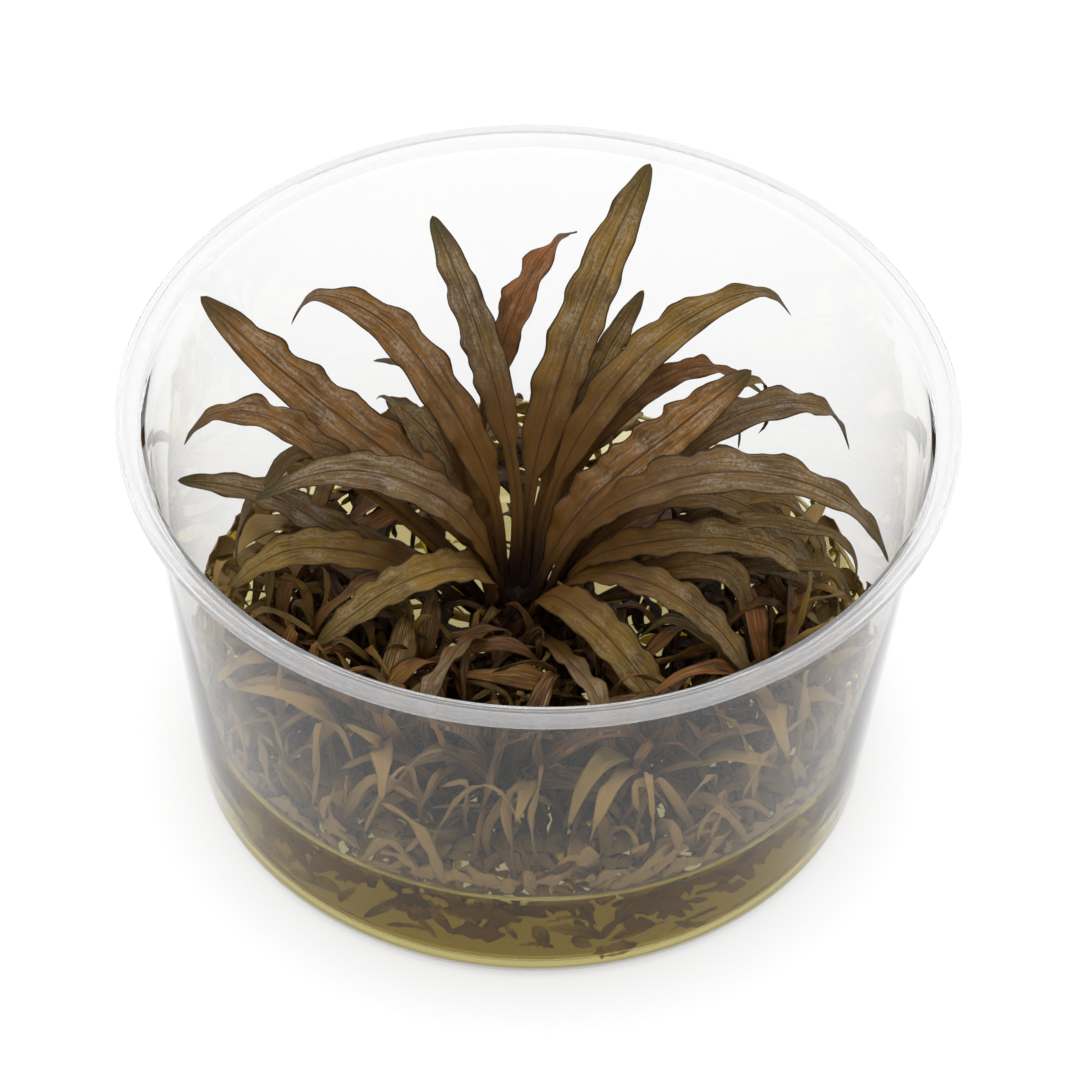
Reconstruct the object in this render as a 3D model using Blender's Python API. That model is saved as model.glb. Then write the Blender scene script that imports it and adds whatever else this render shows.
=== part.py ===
"""Cryptocoryne wendtii grown in a clear tissue-culture cup.

Lengths below are in millimetres and become metres where a mesh is made. +Z is up, the front of the
cup faces -Y, and the origin is the middle of the foot ring.
"""

import math

import bpy
import numpy as np
from mathutils.bvhtree import BVHTree

MM = 0.001
GAP = 0.3

# Cup
CUP_SIDES = 36
FOOT_INNER, FOOT_OUTER, FOOT_SLOPE, BASE_LIFT = 37.2, 38.7, 0.5, 0.9
BASE_RADIUS, BASE_ROUND = 41.2, 2.5
WALL, FLOOR, CORNER_WIDE, CORNER_HIGH = 0.7, 0.8, 0.7, 0.4
STEP_HEIGHT, STEP_OUT = 48.6, 0.6
WALL_TOP_RADIUS = 46.8
RIM_RADIUS, RIM_INNER, RIM_TOP, CUP_HEIGHT = 50.5, 47.6, 55.5, 55.75
SKIRT, LIP, LIP_EDGE = 1.2, 0.7, 0.3
FLARE_DEPTH, FLARE_WIDE, FLARE_THICK = 2.0, 0.8, 0.5
BEAD_IN, BEAD_WIDE, BEAD_SLOPE = 0.6, 0.5, 0.2

# Gel: its base is rounded like the cup's, a round pocket takes the crown, and a slot that is open
# below takes each root and each old leaf
GEL_TOP = 15.3
GEL_ROUND_WIDE, GEL_ROUND_HIGH, GEL_SHOULDER = 1.1, 0.7, 2.0
POCKET_RADIUS, POCKET_FLOOR = 8.0, 4.0
SLOT_ROOM, SLOT_END, BELOW_CUP = 0.45, 0.7, -1.0

# Main plant: its leaves stand in three rings, on three terraces of the crown
CROWN_X, CROWN_Y = -2.0, 3.0
CROWN_SIDES, CROWN_LIFT, CROWN_EDGE = 20, 0.8, 0.8
RING_RADIUS = (1.9, 3.4, 5.0)
RING_HEIGHT = (20.0, 19.2, 18.4)
TERRACE_IN, TERRACE_OUT, TERRACE_SLOPE = 0.8, 0.7, 0.2
LEAF_STATIONS = 15
STALK_THICK, STALK_WIDE, BLADE_THICK, TIP_THICK = 1.1, 1.2, 0.6, 0.3
WAVE_HEIGHT, WAVE_STEP = 0.35, math.pi / 2
FULLEST, BLUNTNESS = 0.75, 0.62

# Each leaf: ring, angle of its foot on the ring, direction, then (reach, height above the base) of
# the points it passes, sideways bow, width, lean of the blade and the share of it that is stalk
LEAVES = {
    "leaf_back_tall": (0, 68, 70, ((8, 29), (19, 40), (31, 48.5), (43.5, 55.3)), 2.2, 6.2, 10, 0.25),
    "leaf_back_left": (0, 118, 108, ((5, 27), (13, 37), (24, 44), (38, 50)), -2, 4.8, -20, 0.36),
    "leaf_back_rust": (1, 110, 81, ((11, 26), (21, 38), (30, 46), (36.5, 47), (39.5, 45)), 7.5, 4.8, -25,
                       0.45),
    "leaf_back_right": (1, 72, 64, ((9, 28), (19, 37), (33, 44.5)), 1.5, 3.8, 20, 0.30),
    "leaf_left_tall": (1, 165, 156, ((7, 30), (17, 38.5), (30, 45), (43, 53.3)), 1, 6.8, -25, 0.16),
    "leaf_left_hooked": (0, 168, 140, ((6, 31), (15, 43), (26, 50.5), (34, 49), (37.3, 42.5)), -3, 5.4,
                         -25, 0.22),
    "leaf_right_arched": (0, 12, 39, ((8, 31), (18, 43.5), (30, 50), (38, 49.5), (42, 43.8)), 4, 5.2, 20,
                          0.26),
    "leaf_right_red": (1, 38, 35, ((9, 26.5), (19, 39.5), (27, 43), (36, 36)), 5, 3.2, 20, 0.40),
    "leaf_right_wide": (0, 328, 21, ((7, 31.5), (18, 41.5), (29.5, 50)), 0, 6.4, 25, 0.15),
    "leaf_right_curled": (1, 14, 22, ((10, 29), (21, 39), (32, 42.5), (40.5, 38.5), (43.4, 31)), 0, 4.6,
                          15, 0.34),
    "leaf_right_long": (1, 321, -6, ((6, 29.5), (17, 42.5), (30, 46), (41, 41), (45, 33)), 0, 6, 15, 0.22),
    "leaf_right_folded": (2, 16, 4, ((10, 29.5), (20, 37), (30, 32.5), (37.5, 21.5)), 1.1, 5.2, 10, 0.30),
    "leaf_right_low": (2, 358, -4, ((8, 28.4), (20, 34), (32, 32), (36.2, 25.5)), -1.4, 5.2, 6, 0.26),
    "leaf_right_drooped": (2, 328, 3, ((14, 22.5), (25, 27.5), (40.5, 17.5)), 0, 5, 10, 0.30),
    "leaf_front_broad": (2, 278, -45, ((5, 24.4), (11, 28.2), (20, 25.6), (31, 16.5)), -1.5, 6, 0, 0.16),
    "leaf_front_right": (2, 307, -28, ((8, 27.2), (18, 31.5), (27, 29), (33, 22)), 0.6, 5, 0, 0.22),
    "leaf_front_left": (2, 215, -153, ((5, 27.5), (12, 31), (20, 29), (27, 24)), 1, 6, 0, 0.10),
    "leaf_left_low": (2, 190, -172, ((9.5, 23.5), (19, 30), (28, 31.5), (37, 23)), 0, 5.2, -15, 0.24),
    "leaf_left_long": (0, 222, -176, ((6, 33), (13, 40.5), (23, 43), (32, 38.5)), 0, 5.8, -20, 0.16),
    "leaf_left_arched": (1, 198, 170, ((10, 28.5), (22, 40), (31, 46), (37.5, 44.5), (41.6, 38)), 1.5, 4.4,
                         -15, 0.42),
    "leaf_left_under": (2, 168, 177, ((10, 24.5), (20, 28.5), (31, 35.5), (41.6, 37)), 0, 5, -10, 0.22),
    "leaf_left_back": (1, 137, 130, ((8, 28), (17, 34.5), (26, 34.5)), 0, 5, -10, 0.22),
}

# The crown's roots: (reach, height) of the points each passes
ROOTS, ROOT_STATIONS, ROOT_THICK, ROOT_TIP = 8, 6, 1.2, 0.5
ROOT_PATH = ((3.2, 17.3), (5.6, 12.0), (11.0, 8.0), (20.0, 5.6), (30.0, 4.4))

# Old leaves set in the gel, each by its foot's angle and reach from the crown, how far it turns from
# that angle, its length, and the heights of its foot and tip
SUNKEN_LEAVES = {
    "sunken_leaf_front": (-112, 19, 12, 16, 3.4, 7.5),
    "sunken_leaf_front_right": (-68, 18, -14, 17, 7.0, 3.4),
    "sunken_leaf_right": (-23, 18, 14, 15, 3.4, 6.5),
    "sunken_leaf_back_right": (22, 15, -12, 14, 6.0, 3.4),
    "sunken_leaf_back_left": (113, 14, 10, 14, 3.4, 6.0),
    "sunken_leaf_left": (158, 17, -12, 14, 6.5, 3.4),
    "sunken_leaf_front_left": (-157, 18, -14, 16, 3.4, 7.0),
}
SUNKEN_WIDTH, SUNKEN_THICK = 2.6, 0.6

# Undergrowth: each plantlet's place on the gel (x, y) and the height of its tallest leaf over the gel
PLANTLETS = {
    "plantlet_front": (-3, -27, 14), "plantlet_front_left": (-20, -21, 14),
    "plantlet_front_right": (15, -24, 13), "plantlet_left": (-30, -6, 13),
    "plantlet_left_back": (-27, 13, 9), "plantlet_back_left": (-14, 28, 5),
    "plantlet_back": (4, 30, 5), "plantlet_back_right": (20, 23, 7),
    "plantlet_right": (30, 9, 11), "plantlet_right_front": (29, -10, 14),
    "plantlet_inner_left": (-14, -9, 11), "plantlet_inner_right": (7, -12, 11),
}
SEED = 31
PLANTLET_LEAVES, PLANTLET_STATIONS, PLANTLET_STALK = 6, 5, 1.2
STEM_SIDES, STEM_RADIUS, STEM_HEIGHT, STEM_TAPER, STEM_POINT = 6, 1.4, 2.5, 0.8, 0.5
FIRST_FOOT, FOOT_STEP, KNEE, SHOULDER = 0.3, 0.06, (0.3, 0.75), 0.65
SHORTEST, LONGEST = 11.0, 19.0
NARROWEST, WIDEST = 2.2, 3.6
LOWEST_TOP, SHORT_SHARE, TIP_DROOP = 3.0, 0.55, 0.55
GOLDEN_ANGLE, FAN, BOW, TWIST = 137.5, 40, 5, 50
TURNS, SHRINKS = (0, 18, -18, 36, -36), (1, 0.8, 0.65)
ROOM, OWN_ROOM, WALL_ROOM = 0.7, 0.1, 0.5

LEAF_BROWN = (0.16, 0.085, 0.035, 1)
LEAF_OLIVE = (0.13, 0.10, 0.03, 1)
CROWN_BROWN = (0.09, 0.03, 0.012, 1)
GEL_OLIVE = (0.35, 0.30, 0.03, 1)
CUP_CLEAR = (0.9, 0.92, 0.93, 1)


def clear_scene():
    for old in list(bpy.data.objects):
        bpy.data.objects.remove(old)


def material(name, colour, roughness, transmission=0.0, ior=1.5):
    made = bpy.data.materials.get(name)
    if made:
        return made
    made = bpy.data.materials.new(name)
    made.use_nodes = True
    sockets = made.node_tree.nodes["Principled BSDF"].inputs
    sockets["Base Color"].default_value = colour
    sockets["Roughness"].default_value = roughness
    sockets["Transmission Weight"].default_value = transmission
    sockets["IOR"].default_value = ior
    return made


def facing_out(points, faces):
    """The faces, all turned round if they enclose a negative volume."""
    volume = sum(np.dot(points[face[0]], np.cross(points[b], points[c]))
                 for face in faces for b, c in zip(face[1:], face[2:]))
    return faces if volume > 0 else [face[::-1] for face in faces]


def solid(name, points, faces, finish):
    points = np.asarray(points)
    mesh = bpy.data.meshes.new(name)
    mesh.from_pydata([tuple(p) for p in points * MM], [], facing_out(points, faces))
    for face in mesh.polygons:
        face.use_smooth = True
    mesh.materials.append(finish)
    made = bpy.data.objects.new(name, mesh)
    bpy.context.scene.collection.objects.link(made)
    return made


def turned(profile, sides, x=0.0, y=0.0):
    """Points and faces of a profile of (radius, height) turned about Z; its ends lie on the axis."""
    rings, points, faces = [], [], []
    for radius, height in profile:
        count = 1 if radius == 0 else sides
        rings.append(range(len(points), len(points) + count))
        for i in range(count):
            angle = 2 * math.pi * i / sides
            points.append((x + radius * math.cos(angle), y + radius * math.sin(angle), height))
    for low, high in zip(rings, rings[1:]):
        for i in range(sides):
            j = (i + 1) % sides
            corners = [low[i % len(low)], low[j % len(low)], high[j % len(high)], high[i % len(high)]]
            faces.append(list(dict.fromkeys(corners)))
    return points, faces


def wall_inside(height):
    """Inner radius of the tapered wall at a height."""
    rise = (height - BASE_ROUND) / (STEP_HEIGHT - BASE_ROUND)
    return BASE_RADIUS - WALL + rise * (WALL_TOP_RADIUS - BASE_RADIUS)


def make_cup():
    profile = [(0, BASE_LIFT), (FOOT_INNER - FOOT_SLOPE, BASE_LIFT), (FOOT_INNER, 0), (FOOT_OUTER, 0)]
    for degrees in (30, 60, 90):
        turn = math.radians(degrees)
        profile.append((FOOT_OUTER + BASE_ROUND * math.sin(turn), BASE_ROUND * (1 - math.cos(turn))))
    bead = RIM_RADIUS - BEAD_IN
    profile += [
        (WALL_TOP_RADIUS, STEP_HEIGHT),
        (WALL_TOP_RADIUS + STEP_OUT, STEP_HEIGHT + STEP_OUT),
        (RIM_INNER, RIM_TOP - FLARE_DEPTH + FLARE_THICK),
        (RIM_INNER + FLARE_WIDE, RIM_TOP - LIP),
        (RIM_RADIUS - LIP, RIM_TOP - LIP),
        (RIM_RADIUS - LIP, RIM_TOP - SKIRT),
        (RIM_RADIUS, RIM_TOP - SKIRT),
        (RIM_RADIUS, RIM_TOP - BEAD_SLOPE),
        (RIM_RADIUS - LIP_EDGE, RIM_TOP),
        (bead, CUP_HEIGHT),
        (bead - BEAD_WIDE, CUP_HEIGHT),
        (bead - BEAD_WIDE - BEAD_SLOPE, RIM_TOP),
        (RIM_INNER + BEAD_SLOPE, RIM_TOP),
        (RIM_INNER, RIM_TOP - LIP_EDGE),
        (WALL_TOP_RADIUS + STEP_OUT - FLARE_THICK, RIM_TOP - FLARE_DEPTH),
        (WALL_TOP_RADIUS + STEP_OUT - WALL, STEP_HEIGHT + STEP_OUT),
        (WALL_TOP_RADIUS - WALL, STEP_HEIGHT),
        (wall_inside(BASE_ROUND + FLOOR), BASE_ROUND + FLOOR),
        (BASE_RADIUS - WALL - CORNER_WIDE, BASE_LIFT + FLOOR + CORNER_HIGH),
        (BASE_RADIUS + FOOT_SLOPE - WALL - BASE_ROUND, BASE_LIFT + FLOOR),
        (0, BASE_LIFT + FLOOR),
    ]
    solid("cup", *turned(profile, CUP_SIDES), material("cup_clear", CUP_CLEAR, 0.08, 1.0, 1.5))


def combined(made, operation, shapes):
    """The solid with shapes joined to it (UNION) or cut out of it (DIFFERENCE)."""
    for i, shape in enumerate(shapes):
        tool = solid(f"{made.name}_shape_{i}", *shape, made.data.materials[0])
        tool.hide_render = True
        tool.display_type = "WIRE"
        step = made.modifiers.new(f"shape_{i}", "BOOLEAN")
        step.operation, step.solver, step.object = operation, "EXACT", tool
    return made


def slot(line, half):
    """Points and faces of an upright slab from below the cup to just above a line of points."""
    out = (line[-1] - line[0]) * (1, 1, 0)
    out /= np.linalg.norm(out)
    side = np.cross((0, 0, 1), out) * (half + GAP)
    line = line + (0, 0, SLOT_ROOM)
    line[0] -= out * SLOT_END
    line[-1] += out * SLOT_END
    rim = [*line, (*line[-1, :2], BELOW_CUP), (*line[0, :2], BELOW_CUP)]
    count = len(rim)
    points = [p - side for p in rim] + [p + side for p in rim]
    faces = [list(range(count)), list(range(2 * count - 1, count - 1, -1))]
    for i in range(count):
        j = (i + 1) % count
        faces.append([j, i, count + i, count + j])
    return np.array(points), faces


def make_gel():
    floor = BASE_LIFT + FLOOR + GAP
    profile = [
        (0, floor), (BASE_RADIUS - WALL - BASE_ROUND, floor),
        (BASE_RADIUS - WALL - GEL_ROUND_WIDE, floor + GEL_ROUND_HIGH),
        (wall_inside(floor + GEL_SHOULDER) - GAP, floor + GEL_SHOULDER),
        (wall_inside(GEL_TOP) - GAP, GEL_TOP), (0, GEL_TOP),
    ]
    gel = solid("gel", *turned(profile, CUP_SIDES), material("gel_olive", GEL_OLIVE, 0.2, 0.9, 1.34))
    above = GEL_TOP + 1
    pocket = ((0, POCKET_FLOOR), (POCKET_RADIUS, POCKET_FLOOR), (POCKET_RADIUS, above), (0, above))
    cutters = [turned(pocket, CUP_SIDES, CROWN_X, CROWN_Y)]
    for i in range(ROOTS):
        root = smooth_path(root_knots(i), ROOT_STATIONS)
        cutters.append(slot(root[1:] + (0, 0, ROOT_THICK / 2), ROOT_THICK / 2))
    for spec in SUNKEN_LEAVES.values():
        leaf = smooth_path(sunken_knots(*spec), PLANTLET_STATIONS)
        cutters.append(slot(leaf[[0, 2, 3, -1]] + (0, 0, SUNKEN_THICK / 2), SUNKEN_WIDTH / 2))
    combined(gel, "DIFFERENCE", cutters)


def smooth_path(knots, steps):
    """A natural cubic spline through the knots, as evenly spaced points."""
    knots = np.asarray(knots, float)
    along = np.r_[0, np.cumsum(np.linalg.norm(np.diff(knots, axis=0), axis=1))]
    gaps = np.diff(along)
    count = len(knots)
    matrix = np.eye(count)
    right = np.zeros((count, 3))
    for i in range(1, count - 1):
        matrix[i, i - 1:i + 2] = gaps[i - 1], 2 * (gaps[i - 1] + gaps[i]), gaps[i]
        right[i] = 6 * ((knots[i + 1] - knots[i]) / gaps[i] - (knots[i] - knots[i - 1]) / gaps[i - 1])
    bend = np.linalg.solve(matrix, right)
    at = np.linspace(0, along[-1], steps + 1)
    k = np.clip(np.searchsorted(along, at, side="right") - 1, 0, count - 2)
    after, before, gap = (along[k + 1] - at)[:, None], (at - along[k])[:, None], gaps[k][:, None]
    return ((bend[k] * after**3 + bend[k + 1] * before**3) / (6 * gap)
            + (knots[k] / gap - bend[k] * gap / 6) * after
            + (knots[k + 1] / gap - bend[k + 1] * gap / 6) * before)


def leaf_knots(foot, centre, direction, path, bow):
    """The points a leaf passes: its foot, then reach and height along its direction, bowed sideways."""
    turn = math.radians(direction)
    out = np.array([math.cos(turn), math.sin(turn), 0])
    across = np.array([-math.sin(turn), math.cos(turn), 0])
    knots = [foot]
    for reach, height in path:
        side = bow * math.sin(math.pi * (reach / path[-1][0])**0.7)
        knots.append(np.array([*centre, height]) + reach * out + side * across)
    return knots


def from_crown(angle, reach, height):
    """A point at a reach from the crown's middle."""
    turn = math.radians(angle)
    return np.array([CROWN_X + reach * math.cos(turn), CROWN_Y + reach * math.sin(turn), height])


def root_knots(i):
    return [from_crown(360 * i / ROOTS, reach, height) for reach, height in ROOT_PATH]


def sunken_knots(angle, reach, turn, length, low, high):
    """A line in the gel, a little arched, that starts at the angle and reach from the crown."""
    foot = from_crown(angle, reach, low)
    way = from_crown(angle + turn, length, high - low) - from_crown(0, 0, 0)
    return [foot, foot + way * (0.5, 0.5, 0.5) + (0, 0, 0.3), foot + way]


def leaf_shape(knots, stations, width, lean, stalk, thick, wave, grow=0.0, sides=4):
    """Points and faces of one leaf: a stalk that widens into a thin blade with a wavy edge.

    Its section has a keel below, and with four sides a ridge above.
    """
    middle = smooth_path(knots, stations)
    t = np.linspace(0, 1, stations + 1)
    ahead = np.gradient(middle, axis=0)
    ahead /= np.linalg.norm(ahead, axis=1)[:, None]
    outward = (knots[-1] - knots[0]) * (1, 1, 0)
    level = np.cross((0, 0, 1), outward / np.linalg.norm(outward))
    across = level - (ahead @ level)[:, None] * ahead
    across /= np.linalg.norm(across, axis=1)[:, None]
    up = np.cross(ahead, across)
    turn = (math.radians(lean) * np.clip(2 * t, 0, 1))[:, None]
    across, up = across * np.cos(turn) + up * np.sin(turn), up * np.cos(turn) - across * np.sin(turn)
    blade = np.clip((t - stalk) / (1 - stalk), 0, 1)
    half = np.clip(np.sin(math.pi * blade**FULLEST), 0, 1)**BLUNTNESS * width / 2
    half = np.maximum(half, STALK_WIDE / 2 * np.clip((1 - t) * 12, 0, 1))[:, None] + grow
    deep = np.interp(t, (0, stalk, 1), thick)[:, None] / 2 + grow
    ripple = (wave * np.sin(WAVE_STEP * np.arange(stations + 1)) * np.clip(6 * blade * (1 - blade), 0, 1))
    lift = up * ripple[:, None]
    section = [middle - across * half + lift, middle - up * deep, middle + across * half - lift,
               middle + up * deep][:sides]
    rings = np.stack(section, axis=1)[:-1]
    points = np.concatenate([rings.reshape(-1, 3), middle[-1:] + ahead[-1:] * grow])
    faces = []
    # the faces over and under an edge are parted alike, so that a twisted blade doesn't cross itself
    parted_back = (2,) if sides == 3 else (1, 3)
    for ring in range(0, sides * (stations - 1), sides):
        for j in range(sides):
            a, b = ring + j, ring + (j + 1) % sides
            c, d = b + sides, a + sides
            faces += [[a, b, c], [a, c, d]] if j in parted_back else [[a, b, d], [b, c, d]]
    last = sides * (stations - 1)
    faces += [[last + j, last + (j + 1) % sides, last + sides] for j in range(sides)]
    return points, faces + [list(range(sides))[::-1]]


def main_leaf(spec, grow=0.0):
    ring, angle, direction, path, bow, width, lean, stalk = spec
    foot = from_crown(angle, RING_RADIUS[ring], RING_HEIGHT[ring])
    knots = leaf_knots(foot, (CROWN_X, CROWN_Y), direction, path, bow)
    thick = (STALK_THICK, BLADE_THICK, TIP_THICK)
    return leaf_shape(knots, LEAF_STATIONS, width, lean, stalk, thick, WAVE_HEIGHT, grow)


def make_leaves():
    brown, olive = material("leaf_brown", LEAF_BROWN, 0.4), material("leaf_olive", LEAF_OLIVE, 0.4)
    for name, spec in LEAVES.items():
        high = max(height for _, height in spec[3]) > 40
        solid(name, *main_leaf(spec), brown if high else olive)


def make_sunken_leaves():
    finish = material("leaf_olive", LEAF_OLIVE, 0.4)
    thick = (SUNKEN_THICK, SUNKEN_THICK, TIP_THICK)
    for name, spec in SUNKEN_LEAVES.items():
        shape = leaf_shape(sunken_knots(*spec), PLANTLET_STATIONS, SUNKEN_WIDTH, 0, 0, thick, 0, sides=3)
        solid(name, *shape, finish)


def make_crown():
    """A short stem with a terrace for each ring of leaves, and roots that spread through the gel."""
    foot = GEL_TOP + CROWN_LIFT
    radius = RING_RADIUS[-1] + TERRACE_OUT
    profile = [(0, foot), (radius - CROWN_EDGE, foot), (radius, foot + CROWN_EDGE)]
    for radius, height in reversed(list(zip(RING_RADIUS, RING_HEIGHT))):
        level = height - GAP - STALK_THICK / 3
        profile += [(radius + TERRACE_OUT, level - TERRACE_SLOPE), (radius - TERRACE_IN, level)]
    profile[-1] = (0, profile[-1][1])
    stem = solid("crown", *turned(profile, CROWN_SIDES, CROWN_X, CROWN_Y),
                 material("crown_brown", CROWN_BROWN, 0.5))
    thick = (ROOT_THICK, ROOT_THICK, ROOT_TIP)
    combined(stem, "UNION", [leaf_shape(root_knots(i), ROOT_STATIONS, ROOT_THICK, 0, 0.9, thick, 0, sides=3)
                             for i in range(ROOTS)])


def tree(points, faces):
    return BVHTree.FromPolygons([tuple(p) for p in points], faces)


def past_stem(points, faces):
    """The tree of a leaf without its first two rings of three points, which stand in the stem."""
    return tree(points, [face for face in faces if min(face) >= 6])


def inside_cup(points):
    reach = np.hypot(points[:, 0], points[:, 1])
    return (reach < wall_inside(points[:, 2]) - WALL_ROOM).all() and (points[:, 2] > GEL_TOP + GAP).all()


def plantlet_leaf(centre, tallest, j, chance, turn, shrink, grow):
    """One narrow arching leaf of a plantlet, from its stem."""
    direction = GOLDEN_ANGLE * j + chance[0] * FAN + turn
    reach = (SHORTEST + chance[1] * (LONGEST - SHORTEST)) * shrink
    share = SHORT_SHARE + (1 - SHORT_SHARE) * chance[2]
    top = GEL_TOP + LOWEST_TOP + (tallest - LOWEST_TOP) * share * shrink
    tip = top - chance[3] * TIP_DROOP * (top - GEL_TOP - 1)
    turn = math.radians(direction)
    foot = np.array([centre[0] + math.cos(turn), centre[1] + math.sin(turn),
                     GEL_TOP + GAP + STEM_HEIGHT * (FIRST_FOOT + FOOT_STEP * j)])
    path = ((reach * KNEE[0], GEL_TOP + (top - GEL_TOP) * KNEE[1]), (reach * SHOULDER, top), (reach, tip))
    width = NARROWEST + chance[4] * (WIDEST - NARROWEST)
    knots = leaf_knots(foot, centre, direction, path, (chance[5] - 0.5) * BOW)
    thick = (PLANTLET_STALK, BLADE_THICK, TIP_THICK)
    return leaf_shape(knots, PLANTLET_STATIONS, width, (chance[6] - 0.5) * TWIST, 0.2, thick, 0, grow, 3)


def make_plantlets():
    """Plantlets whose leaves turn or stay short where another leaf is in the way."""
    taken = [tree(*main_leaf(spec)) for spec in LEAVES.values()]
    finish = material("leaf_olive", LEAF_OLIVE, 0.4)
    for seed, (name, (x, y, tallest)) in enumerate(PLANTLETS.items()):
        chances = np.random.RandomState(seed + SEED).random_sample((PLANTLET_LEAVES, 7))
        foot = GEL_TOP + GAP
        shapes = [turned(((0, foot), (STEM_RADIUS, foot), (STEM_RADIUS * STEM_TAPER, foot + STEM_HEIGHT),
                          (0, foot + STEM_HEIGHT + STEM_POINT)), STEM_SIDES, x, y)]
        for j, chance in enumerate(chances):
            for turn, shrink in ((turn, shrink) for shrink in SHRINKS for turn in TURNS):
                points, faces = plantlet_leaf((x, y), tallest, j, chance, turn, shrink, ROOM)
                wide = tree(points, faces)
                if not inside_cup(points) or any(wide.overlap(other) for other in taken):
                    continue
                outer = past_stem(*plantlet_leaf((x, y), tallest, j, chance, turn, shrink, OWN_ROOM))
                if not any(outer.overlap(tree(*shape)) for shape in shapes):
                    shapes.append(plantlet_leaf((x, y), tallest, j, chance, turn, shrink, 0))
                    break
        combined(solid(name, *shapes[0], finish), "UNION", shapes[1:])
        taken += [tree(*shape) for shape in shapes]


clear_scene()
make_cup()
make_gel()
make_crown()
make_sunken_leaves()
make_leaves()
make_plantlets()
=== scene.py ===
"""Cryptocoryne wendtii in its clear tissue-culture cup: the finish of every piece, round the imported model.

Lengths are in millimetres and become metres where a mesh is made. The front of the cup faces -Y.
"""

import math

import bpy
import numpy as np
from mathutils import Matrix, Vector


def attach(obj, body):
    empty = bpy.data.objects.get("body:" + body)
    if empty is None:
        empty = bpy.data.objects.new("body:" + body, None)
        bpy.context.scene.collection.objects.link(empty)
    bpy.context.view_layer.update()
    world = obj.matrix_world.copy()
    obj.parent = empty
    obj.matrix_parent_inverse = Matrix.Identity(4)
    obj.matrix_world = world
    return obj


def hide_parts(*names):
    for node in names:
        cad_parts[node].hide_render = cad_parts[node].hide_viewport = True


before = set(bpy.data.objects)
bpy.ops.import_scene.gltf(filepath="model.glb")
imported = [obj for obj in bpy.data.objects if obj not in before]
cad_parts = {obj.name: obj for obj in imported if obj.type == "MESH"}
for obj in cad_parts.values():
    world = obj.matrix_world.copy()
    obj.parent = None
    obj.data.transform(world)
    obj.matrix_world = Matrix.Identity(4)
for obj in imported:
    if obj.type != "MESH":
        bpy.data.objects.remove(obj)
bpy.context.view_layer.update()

MM = 0.001

# Camera
# The photograph's view: a long lens a metre away, looking down on the front of the cup, and turned
# a little about its own axis.
CAMERA_ELEVATION, CAMERA_ROLL, CAMERA_DISTANCE = 46.083, 1.495, 1.0
CAMERA_LENS, CAMERA_SENSOR = 274.5, 36.0
CUP_MIDDLE = Vector((0, 0, 0.02787))
AIM_RIGHT, AIM_UP = 0.00065, 0.0040

tilt = math.radians(CAMERA_ELEVATION)
turned_axes = Matrix(((1, 0, 0), (0, math.sin(tilt), -math.cos(tilt)), (0, math.cos(tilt), math.sin(tilt))))
turned_axes = turned_axes @ Matrix.Rotation(math.radians(CAMERA_ROLL), 3, "Z")
camera_place = CUP_MIDDLE + turned_axes.col[2] * CAMERA_DISTANCE
aim = CUP_MIDDLE + turned_axes.col[0] * AIM_RIGHT + turned_axes.col[1] * AIM_UP
swing = turned_axes.col[2].rotation_difference(camera_place - aim)
camera = bpy.data.objects.new("camera", bpy.data.cameras.new("camera"))
camera.data.lens, camera.data.sensor_width = CAMERA_LENS, CAMERA_SENSOR
camera.data.clip_start = 0.01
camera.matrix_world = Matrix.Translation(camera_place) @ (swing.to_matrix() @ turned_axes).to_4x4()
bpy.context.scene.collection.objects.link(camera)
bpy.context.scene.camera = camera


# Floor and light
# A plain white studio table, lit a little from below, under a soft white tent brightest overhead.
FLOOR_REACH = 3000.0
FLOOR_WHITE, FLOOR_GLOW = "#b6b6b6", 0.5
TENT_TOP, TENT_SIDE = 1.7, 1.28


class Field:
    """A node's output in a Python sum: each operator adds the Math or Vector Math node for it."""

    def __init__(self, graph, socket):
        self.graph, self.socket = graph, socket

    def output(self, name):
        return Field(self.graph, self.socket.node.outputs[name])

    def math(self, operation, *others):
        return self.graph.add("ShaderNodeMath", {"operation": operation}, enumerate((self, *others)))

    def vector(self, operation, *others):
        return self.graph.add("ShaderNodeVectorMath", {"operation": operation}, enumerate((self, *others)))

    def either(self, operation, other):
        return (self.vector if self.socket.type == "VECTOR" else self.math)(operation, other)

    def __add__(self, other):
        return self.either("ADD", other)

    __radd__ = __add__

    def __sub__(self, other):
        return self.either("SUBTRACT", other)

    def __rsub__(self, other):
        return self.graph.add("ShaderNodeMath", {"operation": "SUBTRACT"}, {0: other, 1: self})

    def __mul__(self, other):
        if self.socket.type == "VECTOR":
            return self.graph.add("ShaderNodeVectorMath", {"operation": "SCALE"}, {0: self, 3: other})
        return self.math("MULTIPLY", other)

    __rmul__ = __mul__

    def __truediv__(self, other):
        return self.math("DIVIDE", other)

    def __pow__(self, other):
        return self.math("POWER", other)

    def __abs__(self):
        return self.math("ABSOLUTE")

    def clamped(self):
        return self.graph.add("ShaderNodeClamp", sockets={"Value": self})

    def rise(self, low, high):
        """0 below low, 1 above high, and smooth between them."""
        return self.graph.add("ShaderNodeMapRange", {"interpolation_type": "SMOOTHSTEP"},
                              {0: self, 1: low, 2: high})


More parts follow.
